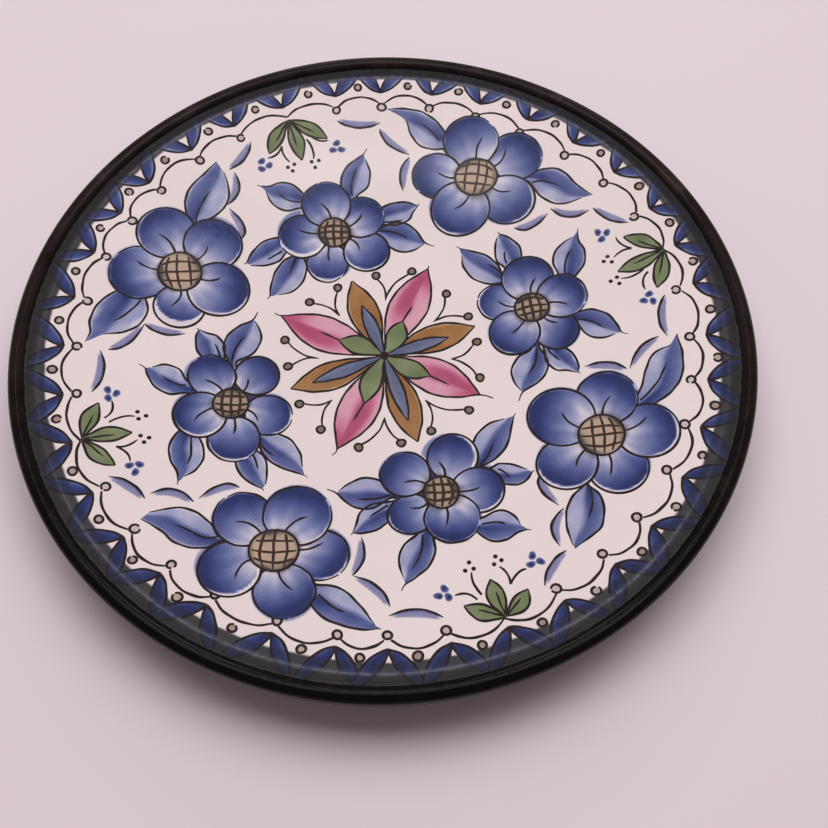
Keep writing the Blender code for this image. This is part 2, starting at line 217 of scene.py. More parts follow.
# The rosette in each quarter: tips of the rose petal, the ochre petal, the blue leaf in it and the green
# leaf, the rose petal's flick, and two pairs of stamens, each a vertex and the dots at the ends of its arms
ROSETTES = (
    (((0.1228, 0.2877), (0.2531, 0.0947), (0.1794, 0.0596), (0.05, 0.1123)),
     (0.125, 0.298),
     (((0.1353, 0.111), (0.1744, 0.204), (0.2346, 0.1273)),
      ((0.1845, -0.0105), (0.2571, 0.0446), (0.2632, -0.0707)))),
    (((0.1288, 0.2902), (0.2466, 0.0947), (0.1649, 0.0647), (0.051, 0.1273)),
     (0.137, 0.309),
     (((0.1298, 0.1273), (0.1754, 0.2135), (0.2241, 0.1348)),
      ((0.1815, -0.0005), (0.2652, 0.0271), (0.2802, -0.0757)))),
    (((0.1218, 0.289), (0.2531, 0.1053), (0.1955, 0.0852), (0.0526, 0.1489)),
     (0.1343, 0.309),
     (((0.1393, 0.1388), (0.1669, 0.2306), (0.2281, 0.1524)),
      ((0.1805, 0.0085), (0.2647, 0.0351), (0.2772, -0.0501)))),
    (((0.1238, 0.26), (0.2677, 0.0912), (0.203, 0.0672), (0.0637, 0.1263)),
     (0.1363, 0.2967),
     (((0.1398, 0.1138), (0.1714, 0.2306), (0.2341, 0.1288)),
      ((0.193, 0.0035), (0.2707, 0.0486), (0.2842, -0.0642)))),
)
STAMEN_DOT = 0.0112
KNOT_RADIUS = 0.013

# The sprig in each quarter: base, the tips of its three leaves, and the two blue trefoils' middles
SPRIGS = (
    ((0.787, 0.298), (0.6794, 0.3527), (0.6567, 0.2412), (0.7576, 0.1773), (0.6205, 0.366),
     (0.733, 0.145)),
    ((0.773, 0.296), (0.6576, 0.3473), (0.6424, 0.2518), (0.7167, 0.1773), (0.619, 0.361), (0.688, 0.148)),
    ((0.779, 0.299), (0.6864, 0.3703), (0.6561, 0.2688), (0.7506, 0.187), (0.637, 0.372), (0.724, 0.156)),
    ((0.779, 0.304), (0.706, 0.3612), (0.6752, 0.2703), (0.7485, 0.2033), (0.627, 0.381), (0.714, 0.155)),
)
# The leaves from the lowest up: which tip, width and bend
SPRIG_LEAVES = ((0, 0.040, -0.006), (2, 0.042, 0.004), (1, 0.042, 0.004))
SPRIG_STEMS = (  # each from its joint to its end, as steps from the sprig's base
    ((-0.088, 0.0155), (-0.117, 0.032), (-0.129, 0.056)),
    ((-0.088, 0.0145), (-0.116, 0.009), (-0.138, -0.01)),
    ((-0.061, -0.056), (-0.091, -0.075), (-0.124, -0.08)),
    ((-0.048, -0.067), (-0.064, -0.092), (-0.061, -0.122)),
)
SPRIG_DOTS = (
    (-0.156, -0.0045), (-0.167, -0.019), (-0.145, -0.023), (-0.134, -0.074), (-0.152, -0.085),
    (-0.129, -0.095),
)
TREFOIL_REACH = 0.0145
TREFOIL_BLOB = 0.0114
SEED_DOT = 0.0060

# Brush arcs: start, middle and end of each pen line, with its blue stroke on the left
BRUSH_ARCS = (
    ((-0.152, 0.775), (-0.09, 0.752), (-0.022, 0.77)), ((-0.02, 0.748), (0.006, 0.697), (0.07, 0.664)),
    ((0.071, 0.66), (0.044, 0.612), (0.052, 0.55)), ((0.372, 0.414), (0.418, 0.407), (0.47, 0.452)),
    ((0.482, 0.466), (0.531, 0.432), (0.59, 0.449)), ((0.6, 0.458), (0.64, 0.415), (0.696, 0.4)),
)
ARC_REACH = 0.023

# The border. The cusps of the scalloped line in each quarter, in degrees; the third is where the sprig grows
CUSPS = (
    (0.8, 11.5, 20.9, 30.2, 40.2, 50.5, 61.3, 71.3, 81.1),
    (1.1, 10.6, 20.9, 31.6, 41.5, 52.0, 61.1, 70.7, 81.2),
    (1.3, 11.5, 21.4, 31.8, 41.8, 51.4, 61.0, 72.6, 83.0),
    (1.3, 11.1, 20.9, 31.2, 41.6, 51.0, 62.0, 72.0, 81.5),
)
SPRIG_CUSP = 2
SCALLOP_CUSP = 0.838
SCALLOP_BULGE = 0.024
SCALLOP_GAP = 0.55  # degrees from a ring's middle to the ends of the scallops beside it
RING_PLACE = 0.827
RING_RADIUS = 0.0115
BEAD_PLACE = 0.890
BEAD_RADIUS = 0.0112
ARCH_TIP = 0.867
BORDER_LEAN = 0.008  # how far the arches and beads lie off centre, and in which direction
BORDER_LEAN_TURN = 50
BAND_RADIUS = 0.905
BAND_SHIFT = 0.012
ARCH_OUTER = ((0.0, 0.0), (0.009, 0.024), (0.024, 0.045), (0.044, 0.063), (0.068, 0.077), (0.094, 0.088))
ARCH_INNER = ((0.003, 0.0), (0.028, 0.008), (0.055, 0.023), (0.078, 0.046), (0.094, 0.072))

# Colours, linear
WHITE = (0.780, 0.680, 0.665)
INK = (0.013, 0.009, 0.009)
BLUES = (
    (0.0, WHITE), (0.16, (0.47, 0.46, 0.585)), (0.3, (0.265, 0.285, 0.465)), (0.5, (0.132, 0.156, 0.33)),
    (0.7, (0.06, 0.079, 0.23)), (0.86, (0.031, 0.045, 0.165)), (1.0, (0.016, 0.026, 0.1)),
)
LILAC_BLUES = ((0.0, WHITE), (0.45, (0.22, 0.225, 0.4)), (1.0, (0.06, 0.064, 0.18)))
GREY_BLUES = ((0.0, WHITE), (0.5, (0.2, 0.225, 0.33)), (1.0, (0.05, 0.066, 0.14)))
ROSES = (
    (0.0, WHITE), (0.15, (0.66, 0.38, 0.46)), (0.4, (0.6, 0.25, 0.35)), (0.7, (0.46, 0.105, 0.2)),
    (1.0, (0.34, 0.05, 0.12)),
)
OCHRES = ((0.0, WHITE), (0.3, (0.5, 0.32, 0.16)), (0.7, (0.285, 0.125, 0.04)), (1.0, (0.19, 0.08, 0.03)))
GREENS = ((0.0, WHITE), (0.3, (0.28, 0.32, 0.2)), (0.7, (0.15, 0.19, 0.085)), (1.0, (0.08, 0.108, 0.055)))
GREYS = ((0.0, WHITE), (0.3, (0.34, 0.25, 0.25)), (1.0, (0.1, 0.08, 0.08)))
BEADS = ((0.0, WHITE), (0.4, (0.33, 0.23, 0.19)), (1.0, (0.14, 0.1, 0.08)))
SEEDS = ((0.0, WHITE), (0.3, (0.47, 0.335, 0.25)), (0.7, (0.255, 0.19, 0.145)), (1.0, (0.07, 0.062, 0.052)))
INKS = ((0.30, INK), (0.62, (0.020, 0.013, 0.012)), (0.80, (0.055, 0.036, 0.034)))
DARKS = ((0.35, (0.0010, 0.0008, 0.0008)), (0.60, (0.002, 0.0015, 0.0013)), (0.80, (0.010, 0.006, 0.004)))
# Browns of the lip's top, partly real wear and partly painted light
WORN_AND_LIT_DARKS = ((0.35, (0.010, 0.007, 0.006)), (0.60, (0.019, 0.013, 0.012)), (0.78, (0.050, 0.032, 0.024)))

# The enamels: the colours each runs through, how strong its dot screen is, and if the dark band covers it
ENAMELS = (
    ("blue", BLUES, 0.30, False),
    ("deep_blue", BLUES, 0.10, False),
    ("lilac_blue", LILAC_BLUES, 0.34, False),
    ("grey_blue", GREY_BLUES, 0.10, False),
    ("arch_blue", BLUES, 0.12, True),
    ("rose", ROSES, 0.10, False),
    ("ochre", OCHRES, 0.10, False),
    ("green", GREENS, 0.10, False),
    ("seed", SEEDS, 0.06, False),
    ("pale_seed", GREYS, 0.04, False),
    ("bead", BEADS, 0.04, False),
)
DOT_PITCH = 0.00042  # metres
THROWING = 2600.0  # how fine the turned ridges are, per metre
GROOVE_SHADE_LINE = (0.9510, 0.0055, 0.9)  # place, width and strength of the painted shade line in the groove inside the lip
LIP_HIGHLIGHT_LINES = ((0.9525, 0.0036, 0.90), (0.9730, 0.0018, 0.22))  # the same of the painted highlight lines on the lip
# the same of the painted highlight lines along the ridge inside the lip
RIDGE_HIGHLIGHT_LINES = ((RIDGE_PLACE, 0.0110, 0.22), (RIDGE_PLACE + 0.001, 0.0040, 0.42))

# The camera, in shares of the radius, and the lights in metres: place, size, brightness, colour, if mirrored
CAMERA_AIM = (0.0822, -0.2537, 0.2308)
CAMERA_DISTANCE = 3.134
CAMERA_RISE = math.radians(62.05)
CAMERA_LENS = 53.01  # millimetres
LIGHTS = (
    ("overhead", (0.03, 0.17, 0.58), (0.62, 0.46), 2.60, (0.980, 0.995, 1.0), False),
    ("sheen", (0.0, 0.09, 0.60), (0.60, 0.28), 2.00, (1.0, 0.98, 1.0), True),
    ("back_strip", (0.0, 0.90, 0.60), (0.70, 0.14), 3.0, (1.0, 0.98, 1.0), True),
)


# ---------------------------------------------------------------- surfaces and curves


def well_height(radius):
    """Height in metres of the finished well at a distance from the axis, given as a share of the radius."""
    flare = np.clip(radius, FLOOR_RADIUS, FLARE_END) - FLOOR_RADIUS
    rise = flare**2 / (2 * FLARE_ARC) + CONE_SLOPE * np.maximum(0.0, radius - FLARE_END)
    ridge = RIDGE_HEIGHT * (np.exp(-(((radius - RIDGE_PLACE) / RIDGE_WIDTH) ** 2)) - 1)
    return WELL_FLOOR + RADIUS * rise + ridge * step(RIDGE_START, RIDGE_FULL, radius)


def white_height(share):
    """Height in metres of the white glaze's top at a share of the radius."""
    return float(well_height(share)) - GROUND_SINK


def on_white(places, level):
    """Places in the design, as an array of points in metres a number of layers above the white glaze."""
    radius = np.hypot(places[:, 0], places[:, 1])
    height = well_height(radius) - GROUND_SINK + level * LAYER
    return np.column_stack((places * RADIUS, height))


def turned_by(places, quarter):
    """The same places in a further quarter of the plate."""
    turns = ((1, 0, 0, 1), (0, -1, 1, 0), (-1, 0, 0, -1), (0, 1, -1, 0))
    a, b, c, d = turns[quarter % 4]
    places = np.asarray(places, float)
    return np.stack((a * places[..., 0] + b * places[..., 1], c * places[..., 0] + d * places[..., 1]), -1)


def smooth_curve(points, count, closed=False):
    """Evenly spaced points on a smooth curve through the given ones."""
    points = np.asarray(points, float)
    if len(points) == 3 and not closed:
        t = np.linspace(0, 1, count)[:, None]
        start, middle, end = points
        return start * (1 - t) * (1 - 2 * t) + 4 * middle * t * (1 - t) + end * t * (2 * t - 1)
    if closed:
        ring = np.vstack((points[-1:], points, points[:2]))
    else:
        ring = np.vstack((2 * points[0] - points[1], points, 2 * points[-1] - points[-2]))
    t = np.linspace(0, 1, CURVE_STEPS, endpoint=False)[:, None]
    dense = []
    for before, start, end, after in zip(ring[:-3], ring[1:-2], ring[2:-1], ring[3:]):
        bend = (2 * before - 5 * start + 4 * end - after) * t**2
        turn = (3 * start - before - 3 * end + after) * t**3
        dense.append(0.5 * (2 * start + (end - before) * t + bend + turn))
    dense = np.vstack(dense + [ring[-2:-1]])
    run = np.concatenate(([0.0], np.cumsum(np.hypot(*np.diff(dense, axis=0).T))))
    wanted = np.linspace(0, run[-1], count + 1 if closed else count)
    even = np.column_stack([np.interp(wanted, run, dense[:, axis]) for axis in range(2)])
    return even[:-1] if closed else even


def length_of(points):
    return float(np.hypot(*np.diff(np.asarray(points, float), axis=0).T).sum())


def polar(distance, degrees, centre=(0.0, 0.0)):
    angle = math.radians(degrees)
    return np.array((centre[0] + distance * math.cos(angle), centre[1] + distance * math.sin(angle)))


def step(low, high, value):
    """0 below low, 1 above high and smooth between them."""
    share = np.clip((value - low) / (high - low), 0.0, 1.0)
    return share * share * (3 - 2 * share)


def wander(values, waves, size):
    """A slow random wave along an array of angles or distances."""
    total = np.zeros_like(values)
    for wave in waves:
        total += np.sin(values * wave + RANDOM.uniform(0, 2 * math.pi)) / len(waves)
    return size * total


# ---------------------------------------------------------------- pieces of paint


class Paint:
    """One piece of the painted design: thin closed sheets and pen lines that share a material."""

    def __init__(self, name, slot, material, quarter=0, stands_for=()):
        self.name = name
        self.slot = slot
        self.material = material
        self.quarter = quarter
        self.stands_for = stands_for
        self.points = []
        self.faces = []
        self.values = {"tone": [], "grain": [], "shade": []}

    def _add(self, points, faces, **values):
        first = sum(len(block) for block in self.points)
        self.points.append(points)
        self.faces += [tuple(first + i for i in face) for face in faces]
        for name, value in values.items():
            self.values[name].append(np.broadcast_to(np.asarray(value, float), (len(points),)))

    def sheet(self, places, tone, level, grain=1.0, shade=0.0):
        """A closed thin sheet whose top is a grid of places, rows by columns."""
        rows, columns = places.shape[:2]
        size = rows * columns
        flat = turned_by(places.reshape(-1, 2), self.quarter)
        points = np.vstack((on_white(flat, level), on_white(flat, 0) - SHEET_DEPTH))
        index = np.arange(size).reshape(rows, columns)
        rim = np.concatenate((index[0, :-1], index[:-1, -1], index[-1, :0:-1], index[:0:-1, 0]))
        loop = flat[rim]
        around = np.roll(loop, -1, 0)
        clockwise = (loop[:, 0] * around[:, 1] - loop[:, 1] * around[:, 0]).sum() < 0
        faces = []
        for i in range(rows - 1):
            for j in range(columns - 1):
                quad = (index[i, j], index[i, j + 1], index[i + 1, j + 1], index[i + 1, j])
                faces.append(quad)
                faces.append(tuple(size + k for k in reversed(quad)))
        for a, b in zip(rim, np.roll(rim, -1)):
            faces.append((a, a + size, b + size, b))
        if clockwise:
            faces = [face[::-1] for face in faces]
        tone, shade = (np.tile(np.ravel(value), 2) if np.ndim(value) else value for value in (tone, shade))
        self._add(points, faces, tone=tone, grain=grain, shade=shade)

    def line(
        self, points, level, width=LINE, closed=False, thin_start=0.4, thin_end=0.4, tone=1.0, waver=1.0,
        taper=0.16,
    ):
        """A pen line along a smooth curve through the points, thinner at its two ends unless it is closed."""
        ends = list(points) + [points[0]] if closed else points
        count = max(8, int(length_of(ends) / LINE_STEP) + 1)
        centre = turned_by(smooth_curve(points, count, closed), self.quarter)
        along = np.roll(centre, -1, 0) - np.roll(centre, 1, 0)
        if not closed:
            along[0] = centre[1] - centre[0]
            along[-1] = centre[-1] - centre[-2]
        along /= np.hypot(*along.T)[:, None]
        side = np.column_stack((-along[:, 1], along[:, 0]))
        run = np.arange(count) * LINE_STEP
        waves = 2 * math.pi * np.array((1, 2, 3)) / (count * LINE_STEP) if closed else (35.0, 70.0, 130.0)
        centre = centre + side * (waver * wander(run, waves, LINE_STRAY))[:, None]
        half = width / 2 * (1 + waver * wander(run, waves, LINE_SWELL))
        if not closed:
            share = np.linspace(0, 1, count)
            half *= thin_start + (1 - thin_start) * step(0.0, taper, share)
            half *= thin_end + (1 - thin_end) * step(0.0, LINE_TAIL, 1 - share)
        self._add(*pen_strip(centre, side * half[:, None], level, closed), tone=tone, grain=1.0, shade=0.0)

    def make(self):
        """The piece as an object that rides on the plate."""
        piece = new_piece(self.name, np.vstack(self.points), self.faces, self.material)
        for name, store in self.values.items():
            attribute = piece.data.attributes.new(name, "FLOAT", "POINT")
            attribute.data.foreach_set("value", np.concatenate(store).astype(np.float32))
        finish_piece(piece, self.stands_for)


def pen_strip(centre, half, level, closed):
    """The points and faces of a closed strip that stands a little higher along its middle."""
    left = centre + half
    right = centre - half
    rails = (
        on_white(left, level),
        on_white(centre, level) + LINE_BEAD,
        on_white(right, level),
        on_white(right, 0) - SHEET_DEPTH,
        on_white(left, 0) - SHEET_DEPTH,
    )
    count = len(centre)
    across = len(rails)
    faces = []
    for i in range(count if closed else count - 1):
        here = i * across
        there = (i + 1) % count * across
        for j in range(across):
            k = (j + 1) % across
            faces.append((here + j, here + k, there + k, there + j))
    if not closed:
        last = (count - 1) * across
        faces.append(tuple(range(across))[::-1])
        faces.append(tuple(last + j for j in range(across)))
    return np.stack(rails, 1).reshape(-1, 3), faces


def make_all(*paints):
    for paint in paints:
        paint.make()


def new_piece(name, points, faces, material):
    mesh = bpy.data.meshes.new(name)
    mesh.from_pydata([tuple(point) for point in points], [], faces)
    mesh.materials.append(material)
    mesh.shade_smooth()
    mesh.set_sharp_from_angle(angle=math.radians(35))
    piece = bpy.data.objects.new(name, mesh)
    link(piece)
    return piece


def finish_piece(piece, stands_for):
    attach(piece, BODY)
    if stands_for:
        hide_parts(*stands_for)


def round_grid(centre, radius, size=26, swell=0.03, turn=0.0):
    """A grid of places that fills a slightly uneven circle, with each place's share of its radius."""
    side = np.linspace(-1, 1, size)
    u, v = np.meshgrid(side, side, indexing="ij")
    x = u * np.sqrt(1 - v * v / 2)
    y = v * np.sqrt(1 - u * u / 2)
    share = np.hypot(x, y)
    angle = np.arctan2(y, x)
    reach = radius * uneven(angle, swell, turn) * share
    return np.stack((centre[0] + reach * np.cos(angle), centre[1] + reach * np.sin(angle)), -1), share


def uneven(angle, swell, turn):
    return 1 + swell * np.cos(2 * (angle - turn)) + 0.4 * swell * np.cos(3 * (angle + turn))


def circle_points(centre, radius, count=16, swell=0.0, turn=0.0, start=0.0, sweep=2 * math.pi, closed=True):
    angle = start + np.linspace(0, sweep, count, endpoint=not closed)
    reach = radius * uneven(angle, swell, turn)
    return np.column_stack((centre[0] + reach * np.cos(angle), centre[1] + reach * np.sin(angle)))


def leaf_grid(upper, lower, rows=30, columns=11):
    """Places between a leaf's two edges, with their shares along it and across it."""
    across, along = np.meshgrid(np.linspace(0, 1, columns), np.linspace(0, 1, rows))
    return between(smooth_curve(upper, rows), smooth_curve(lower, rows), columns), along, across


def between(one, two, columns):
    """A grid of places from one curve to another, a row for each pair of their points."""
    across = np.linspace(0, 1, columns)[None, :, None]
    return one[:, None] * (1 - across) + two[:, None] * across


def petal_edges(base, tip, width, fullest=0.5, bend=0.0, points=6):
    """The two edges of a pointed petal from base to tip."""
    base = np.asarray(base, float)
    tip = np.asarray(tip, float)
    along = tip - base
    side = np.array((-along[1], along[0])) / np.hypot(*along)
    edges = []
    for sign in (1, -1):
        edge = []
        for share in np.linspace(0, 1, points):
            bulge = math.sin(math.pi * share ** (math.log(0.5) / math.log(fullest)))
            shift = sign * width / 2 * bulge + bend * math.sin(math.pi * share)
            edge.append(base + along * share + side * (shift + sign * 0.0006))
        edges.append(edge)
    return edges


# ---------------------------------------------------------------- motifs


def petal_tone(places, centre, disc, petal_centre, radius, miss):
    """How dense the blue is: pale by the disc, dark at the outer edge, none where it misses the outline."""
    dx = places[..., 0] - centre[0]
    dy = places[..., 1] - centre[1]
    reach = np.hypot(dx, dy)
    angle = np.arctan2(dy, dx)
    far = np.hypot(petal_centre[0] - centre[0], petal_centre[1] - centre[1]) + radius
    share = (reach - disc) / (far - disc)
    lean = RANDOM.uniform(-0.28, 0.28)
    heading = math.atan2(petal_centre[1] - centre[1], petal_centre[0] - centre[0])
    sideways = np.sin(angle - heading) * reach / radius
    streaks = wander(angle, (5.0, 9.0, 17.0), 0.12) * (1 - step(0.3, 0.9, share))
    depth = RANDOM.uniform(0.92, 1.08)
    tone = np.clip(0.13 + depth * (np.clip(share, 0, 1) ** 1.15 + lean * sideways + streaks), 0.10, 1.0)
    off = np.hypot(places[..., 0] - petal_centre[0] - miss[0], places[..., 1] - petal_centre[1] - miss[1])
    covered = 1 - step(0.955, 1.0, off / radius)
    return tone * (0.06 + 0.94 * covered)


def disc_shade(places, centre, disc):
    """Dark wash on the petals close round the disc, in uneven patches."""
    dx = places[..., 0] - centre[0]
    dy = places[..., 1] - centre[1]
    angle = np.arctan2(dy, dx)
    reach = 0.013 + wander(angle, (1.0, 3.0, 5.0), 0.020)
    return 0.72 * (1 - step(0.0, 1.0, (np.hypot(dx, dy) - disc) / np.maximum(reach, 0.003)))


def flower(centre, petals, disc, paints):
    """Petals from the lowest up, each with its outline and vein, then the hatched disc."""
    blue, ink, seed = paints
    halos(centre, petals, blue)
    places, _ = round_grid(centre, disc * 1.75, swell=0.05, turn=RANDOM.uniform(0, 3))
    blue.sheet(places, 0.80, FLOWER_LEVEL - 1, shade=0.45)
    level = FLOWER_LEVEL
    for distance, degrees, radius, *miss in petals:
        middle = polar(distance, degrees, centre)
        turn = math.radians(degrees)
        swell = RANDOM.uniform(-0.01, 0.03)
        places, _ = round_grid(middle, radius, swell=swell, turn=turn)
        tone = petal_tone(places, centre, disc, middle, radius, miss)
        blue.sheet(places, tone, level, shade=disc_shade(places, centre, disc))
        petal_outline(middle, radius, swell, turn, ink, level + 1)
        vein(centre, degrees, disc, radius, ink, level + 1)
        level += 2
    seed_head(centre, disc, seed, ink, level)


def halos(centre, petals, blue):
    """Soft blue that strays past the outlines, mostly on the side to which a petal's colour is shifted."""
    for place, (distance, degrees, radius, *miss) in enumerate(petals):
        stray = np.array(miss) + (RANDOM.uniform(-0.003, 0.003), RANDOM.uniform(-0.003, 0.003))
        reach = radius + HALO
        places, share = round_grid(polar(distance, degrees, centre) + stray, reach, swell=0.01)
        tone = 0.45 * (1 - step(radius / reach - 0.02, 0.995, share))
        blue.sheet(places, tone, 0.3 + 0.1 * place, grain=1.5)


def petal_outline(middle, radius, swell, turn, ink, level):
    """The round outline, drawn in one or two strokes with a small gap in some."""
    gap = RANDOM.choice((0.0, 0.0, 0.05, 0.12))
    start = turn + RANDOM.uniform(-1.1, 1.1)
    if gap:
        arc = circle_points(middle, radius, 22, swell, turn, start + gap, 2 * math.pi - 2 * gap, closed=False)
        ink.line(arc, level, thin_start=0.55, thin_end=0.55)
    else:
        ink.line(circle_points(middle, radius, 18, swell, turn), level, closed=True)


def vein(centre, degrees, disc, radius, ink, level):
    """A short hooked stroke from the disc into the petal."""
    heading = degrees + RANDOM.uniform(-9, 9)
    hook = RANDOM.choice((-1, 1)) * RANDOM.uniform(12, 26)
    reach = radius * RANDOM.uniform(0.62, 0.92)
    start = polar(disc * 0.97, heading, centre)
    middle = polar(disc + reach * 0.5, heading + hook * 0.15, centre)
    end = polar(disc + reach, heading + hook * 0.6, centre)
    ink.line((start, middle, end), level, width=LINE * 0.95, thin_start=1.0, thin_end=0.35)


def seed_head(centre, disc, seed, ink, level):
    """The flower's disc: a beige globe with a curved lattice of brown lines and a dark ring."""
    places, share = round_grid(centre, disc, swell=0.02, turn=RANDOM.uniform(0, 3))
    angle = np.arctan2(places[..., 1] - centre[1], places[..., 0] - centre[0])
    patches = wander(angle, (2.0, 3.0, 5.0), 0.12)
    small = disc < LARGE_DISC
    base = 0.52 if small else 0.34
    north = (places[..., 1] - centre[1] - 0.3 * (places[..., 0] - centre[0])) / disc
    caps = 0.46 * step(0.42, 0.95, np.abs(north) + patches)
    edge = (0.80 - base) * step(0.80, 1.0, share + patches)
    seed.sheet(places, base + caps + edge, level)
    ink.line(circle_points(centre, disc, 16, 0.02), level + 1, width=LINE * 0.95, closed=True)
    tilt = RANDOM.uniform(-0.25, 0.25)
    sag = RANDOM.uniform(0.04, 0.16)
    width = LINE * (1.30 if small else 1.10)
    for upright in (True, False):
        for place in (-0.52, 0.0, 0.50):
            lattice_line(centre, disc, place, upright, tilt, sag, ink, level + 1, width)


def lattice_line(centre, disc, place, upright, tilt, sag, ink, level, width):
    """One of the disc's curved lines, bowed as if it lay on a globe."""
    place += RANDOM.uniform(-0.05, 0.05)
    span = math.sqrt(1 - place * place) * 0.94
    points = []
    for t in np.linspace(-1, 1, 5):
        bow = place * (1 - 0.22 * t * t) + sag * (1 - t * t) * (0.3 if upright else 1.0)
        x, y = (bow, t * span) if upright else (t * span, bow)
        x += RANDOM.uniform(-0.02, 0.02)
        points.append((
            centre[0] + disc * (x * math.cos(tilt) - y * math.sin(tilt)),
            centre[1] + disc * (x * math.sin(tilt) + y * math.cos(tilt)),
        ))
    ink.line(points, level, width=width, thin_start=0.7, thin_end=0.7, tone=0.70)


def leaf_tone(along, across, miss):
    """Deeper blue on one side of the midrib and by the flower, and at times none along an edge."""
    split = 0.5 + wander(along * 3.0, (1.0, 2.1, 3.3), 0.10)
    dark = step(-0.16, 0.06, split - across) * (0.55 + 0.45 * step(0.0, 0.22, across))
    rib = np.exp(-(((across - 0.42) / 0.12) ** 2)) * (1 - step(0.5, 0.9, along))
    by_flower = 1 - step(0.0, 0.50, along)
    tone = 0.25 + 0.38 * dark + 0.18 * rib + 0.20 * by_flower + wander(along * 7, (1.0, 2.3), 0.04)
    edge = np.minimum(across, 1 - across)
    if miss:
        tone = tone * (0.08 + 0.92 * step(0.0, miss, edge + wander(along * 5.0, (1.0, 2.0, 3.0), miss * 0.6)))
    return tone


def blue_leaf(upper, lower, midrib, root, blue, ink, flick=None):
    """A two-tone leaf that starts under the flower, with its edges, its midrib and a flick at its tip."""
    upper = np.vstack((tucked(upper[0], root), upper))
    lower = np.vstack((tucked(lower[0], root), lower))
    places, along, across = leaf_grid(upper, lower)
    blue.sheet(places, leaf_tone(along, across, RANDOM.choice((0.0, 0.05, 0.10))), 1)
    if flick is not None:
        upper = np.vstack((upper, flick))
    ink.line(upper, 2, thin_start=0.9)
    ink.line(lower, 2, thin_start=0.9)
    ink.line(midrib, 2, width=LINE * 0.9, thin_start=0.9, thin_end=0.35)


def tucked(start, root):
    """A place a little nearer to the flower's middle than a leaf's first point."""
    return np.asarray(start, float) * 0.84 + np.asarray(root, float) * 0.16


def large_blossom(quarter, stuffs):
    centre, petals, leaves = LARGE_FLOWERS[quarter]
    blue, ink, _ = paints = blossom_paints(f"large_blossom_{quarter + 1}", quarter, stuffs)
    for edges in leaves:
        blue_leaf(*edges, centre, blue, ink)
    flower(centre, petals, LARGE_DISC, paints)
    make_all(*paints)


def small_blossom(quarter, stuffs):
    centre, petals = SMALL_FLOWERS[quarter]
    blue, ink, _ = paints = blossom_paints(f"small_blossom_{quarter + 1}", quarter, stuffs)
    shift = np.array(centre) - np.array(SMALL_HOME)
    for (*edges, flick), tip in zip(SMALL_LEAVES, SMALL_TIPS[quarter]):
        tip_shift = np.array(tip) - np.array(flick)
        blue_leaf(*[moved_edge(edge, shift, tip_shift) for edge in edges], centre, blue, ink, tip)
    flower(centre, petals, SMALL_DISC, paints)
    make_all(*paints)


def moved_edge(edge, base_shift, tip_shift):
    """An edge whose base moves by one step and whose tip moves by another."""
    shares = np.linspace(0, 1, len(edge))[:, None]
    return np.asarray(edge, float) + base_shift * (1 - shares) + tip_shift * shares


def blossom_paints(name, quarter, stuffs):
    kinds = (("blue", "blue"), ("ink", "ink"), ("seeds", "seed"))
    return [Paint(f"{name}_{end}", f"{kind}_enamel", stuffs[kind], quarter, (name,)) for end, kind in kinds]


def coloured_petal(paint, ink, base, tip, width, level, tone, fullest, bend=0.0, flick=None, taper=0.16):
    """A pointed petal whose tone is a function of the shares along and across it, with its outline."""
    one, two = petal_edges(base, tip, width, fullest, bend)
    places, along, across = leaf_grid(one, two)
    paint.sheet(places, tone(along, across), level)
    ink.line(one, level + 1, thin_start=0.45, thin_end=0.7, taper=taper)
    if flick is not None:
        two = two + [np.asarray(flick, float)]
    ink.line(two, level + 1, thin_start=0.45, thin_end=0.5, taper=taper)


def rose_tone(along, across):
    side = across + wander(along * 4, (1.0, 2.3), 0.05)
    band = step(0.02, 0.30, side) * (1 - step(0.52, 0.66, side))
    return 0.27 + 0.62 * np.maximum(step(0.60, 0.98, along), band * step(0.20, 0.62, along))


def ochre_tone(along, across):
    bare = 1 - step(0.02, 0.10, across + wander(along * 4.0, (1.0, 2.2), 0.03))
    return (0.58 + 0.22 * (1 - along)) * (1 - 0.75 * bare)


def inner_tone(along, across):
    return 0.74 + 0.12 * (1 - along) - 0.22 * np.exp(-(((across - 0.75) / 0.12) ** 2)) * along


def green_tone(along, across):
    return 0.62 + 0.10 * wander(along * 5.0, (1.0, 2.0), 1.0) + 0.10 * across


def rosette(stuffs):
    """Eight petals and four leaves round a dark knot, with sixteen stamens between them."""
    layers = (  # from the lowest up: paint, width, tone, fullest share, bend, and how far its lines thin
        ("rose", 0.108, rose_tone, 0.56, 0.002, 0.4),
        ("ochre", 0.084, ochre_tone, 0.58, 0.004, 0.4),
        ("blue", 0.036, inner_tone, 0.55, 0.0, 0.5),
        ("green", 0.056, green_tone, 0.58, -0.006, 0.5),
    )
    paints = {}
    for kind in ("rose", "ochre", "blue", "green", "ink", "seed"):
        stuff = stuffs["grey_blue" if kind == "blue" else kind]
        paints[kind] = Paint(f"rosette_{kind}", f"{kind}_enamel", stuff, 0, ("centre_rosette",))
    ink = paints["ink"]
    for layer, (kind, width, tone, fullest, bend, taper) in enumerate(layers):
        for quarter, (tips, flick, stamens) in enumerate(ROSETTES):
            for paint in paints.values():
                paint.quarter = quarter
            end = None if layer else flick
            shape = (tips[layer], width, 2 * layer + 1, tone, fullest, bend, end, taper)
            coloured_petal(paints[kind], ink, (0.0, 0.0), *shape)
            if layer == 0:
                rose_midrib(np.array(tips[-1]), ink)
                for stamen_pair in stamens:
                    stamen(*stamen_pair, ink, paints["seed"])
    places, _ = round_grid((0.0, 0.0), KNOT_RADIUS, size=10)
    ink.sheet(places, 1.0, 9)
    make_all(*paints.values())


def rose_midrib(green_tip, ink):
    """A short stroke on the rose petal, out from under the tip of the green leaf."""
    midrib = (green_tip * 0.98, green_tip + (0.012, 0.022), green_tip + (0.028, 0.052))
    ink.line(midrib, 2, width=LINE * 0.9, thin_start=0.9, thin_end=0.4)


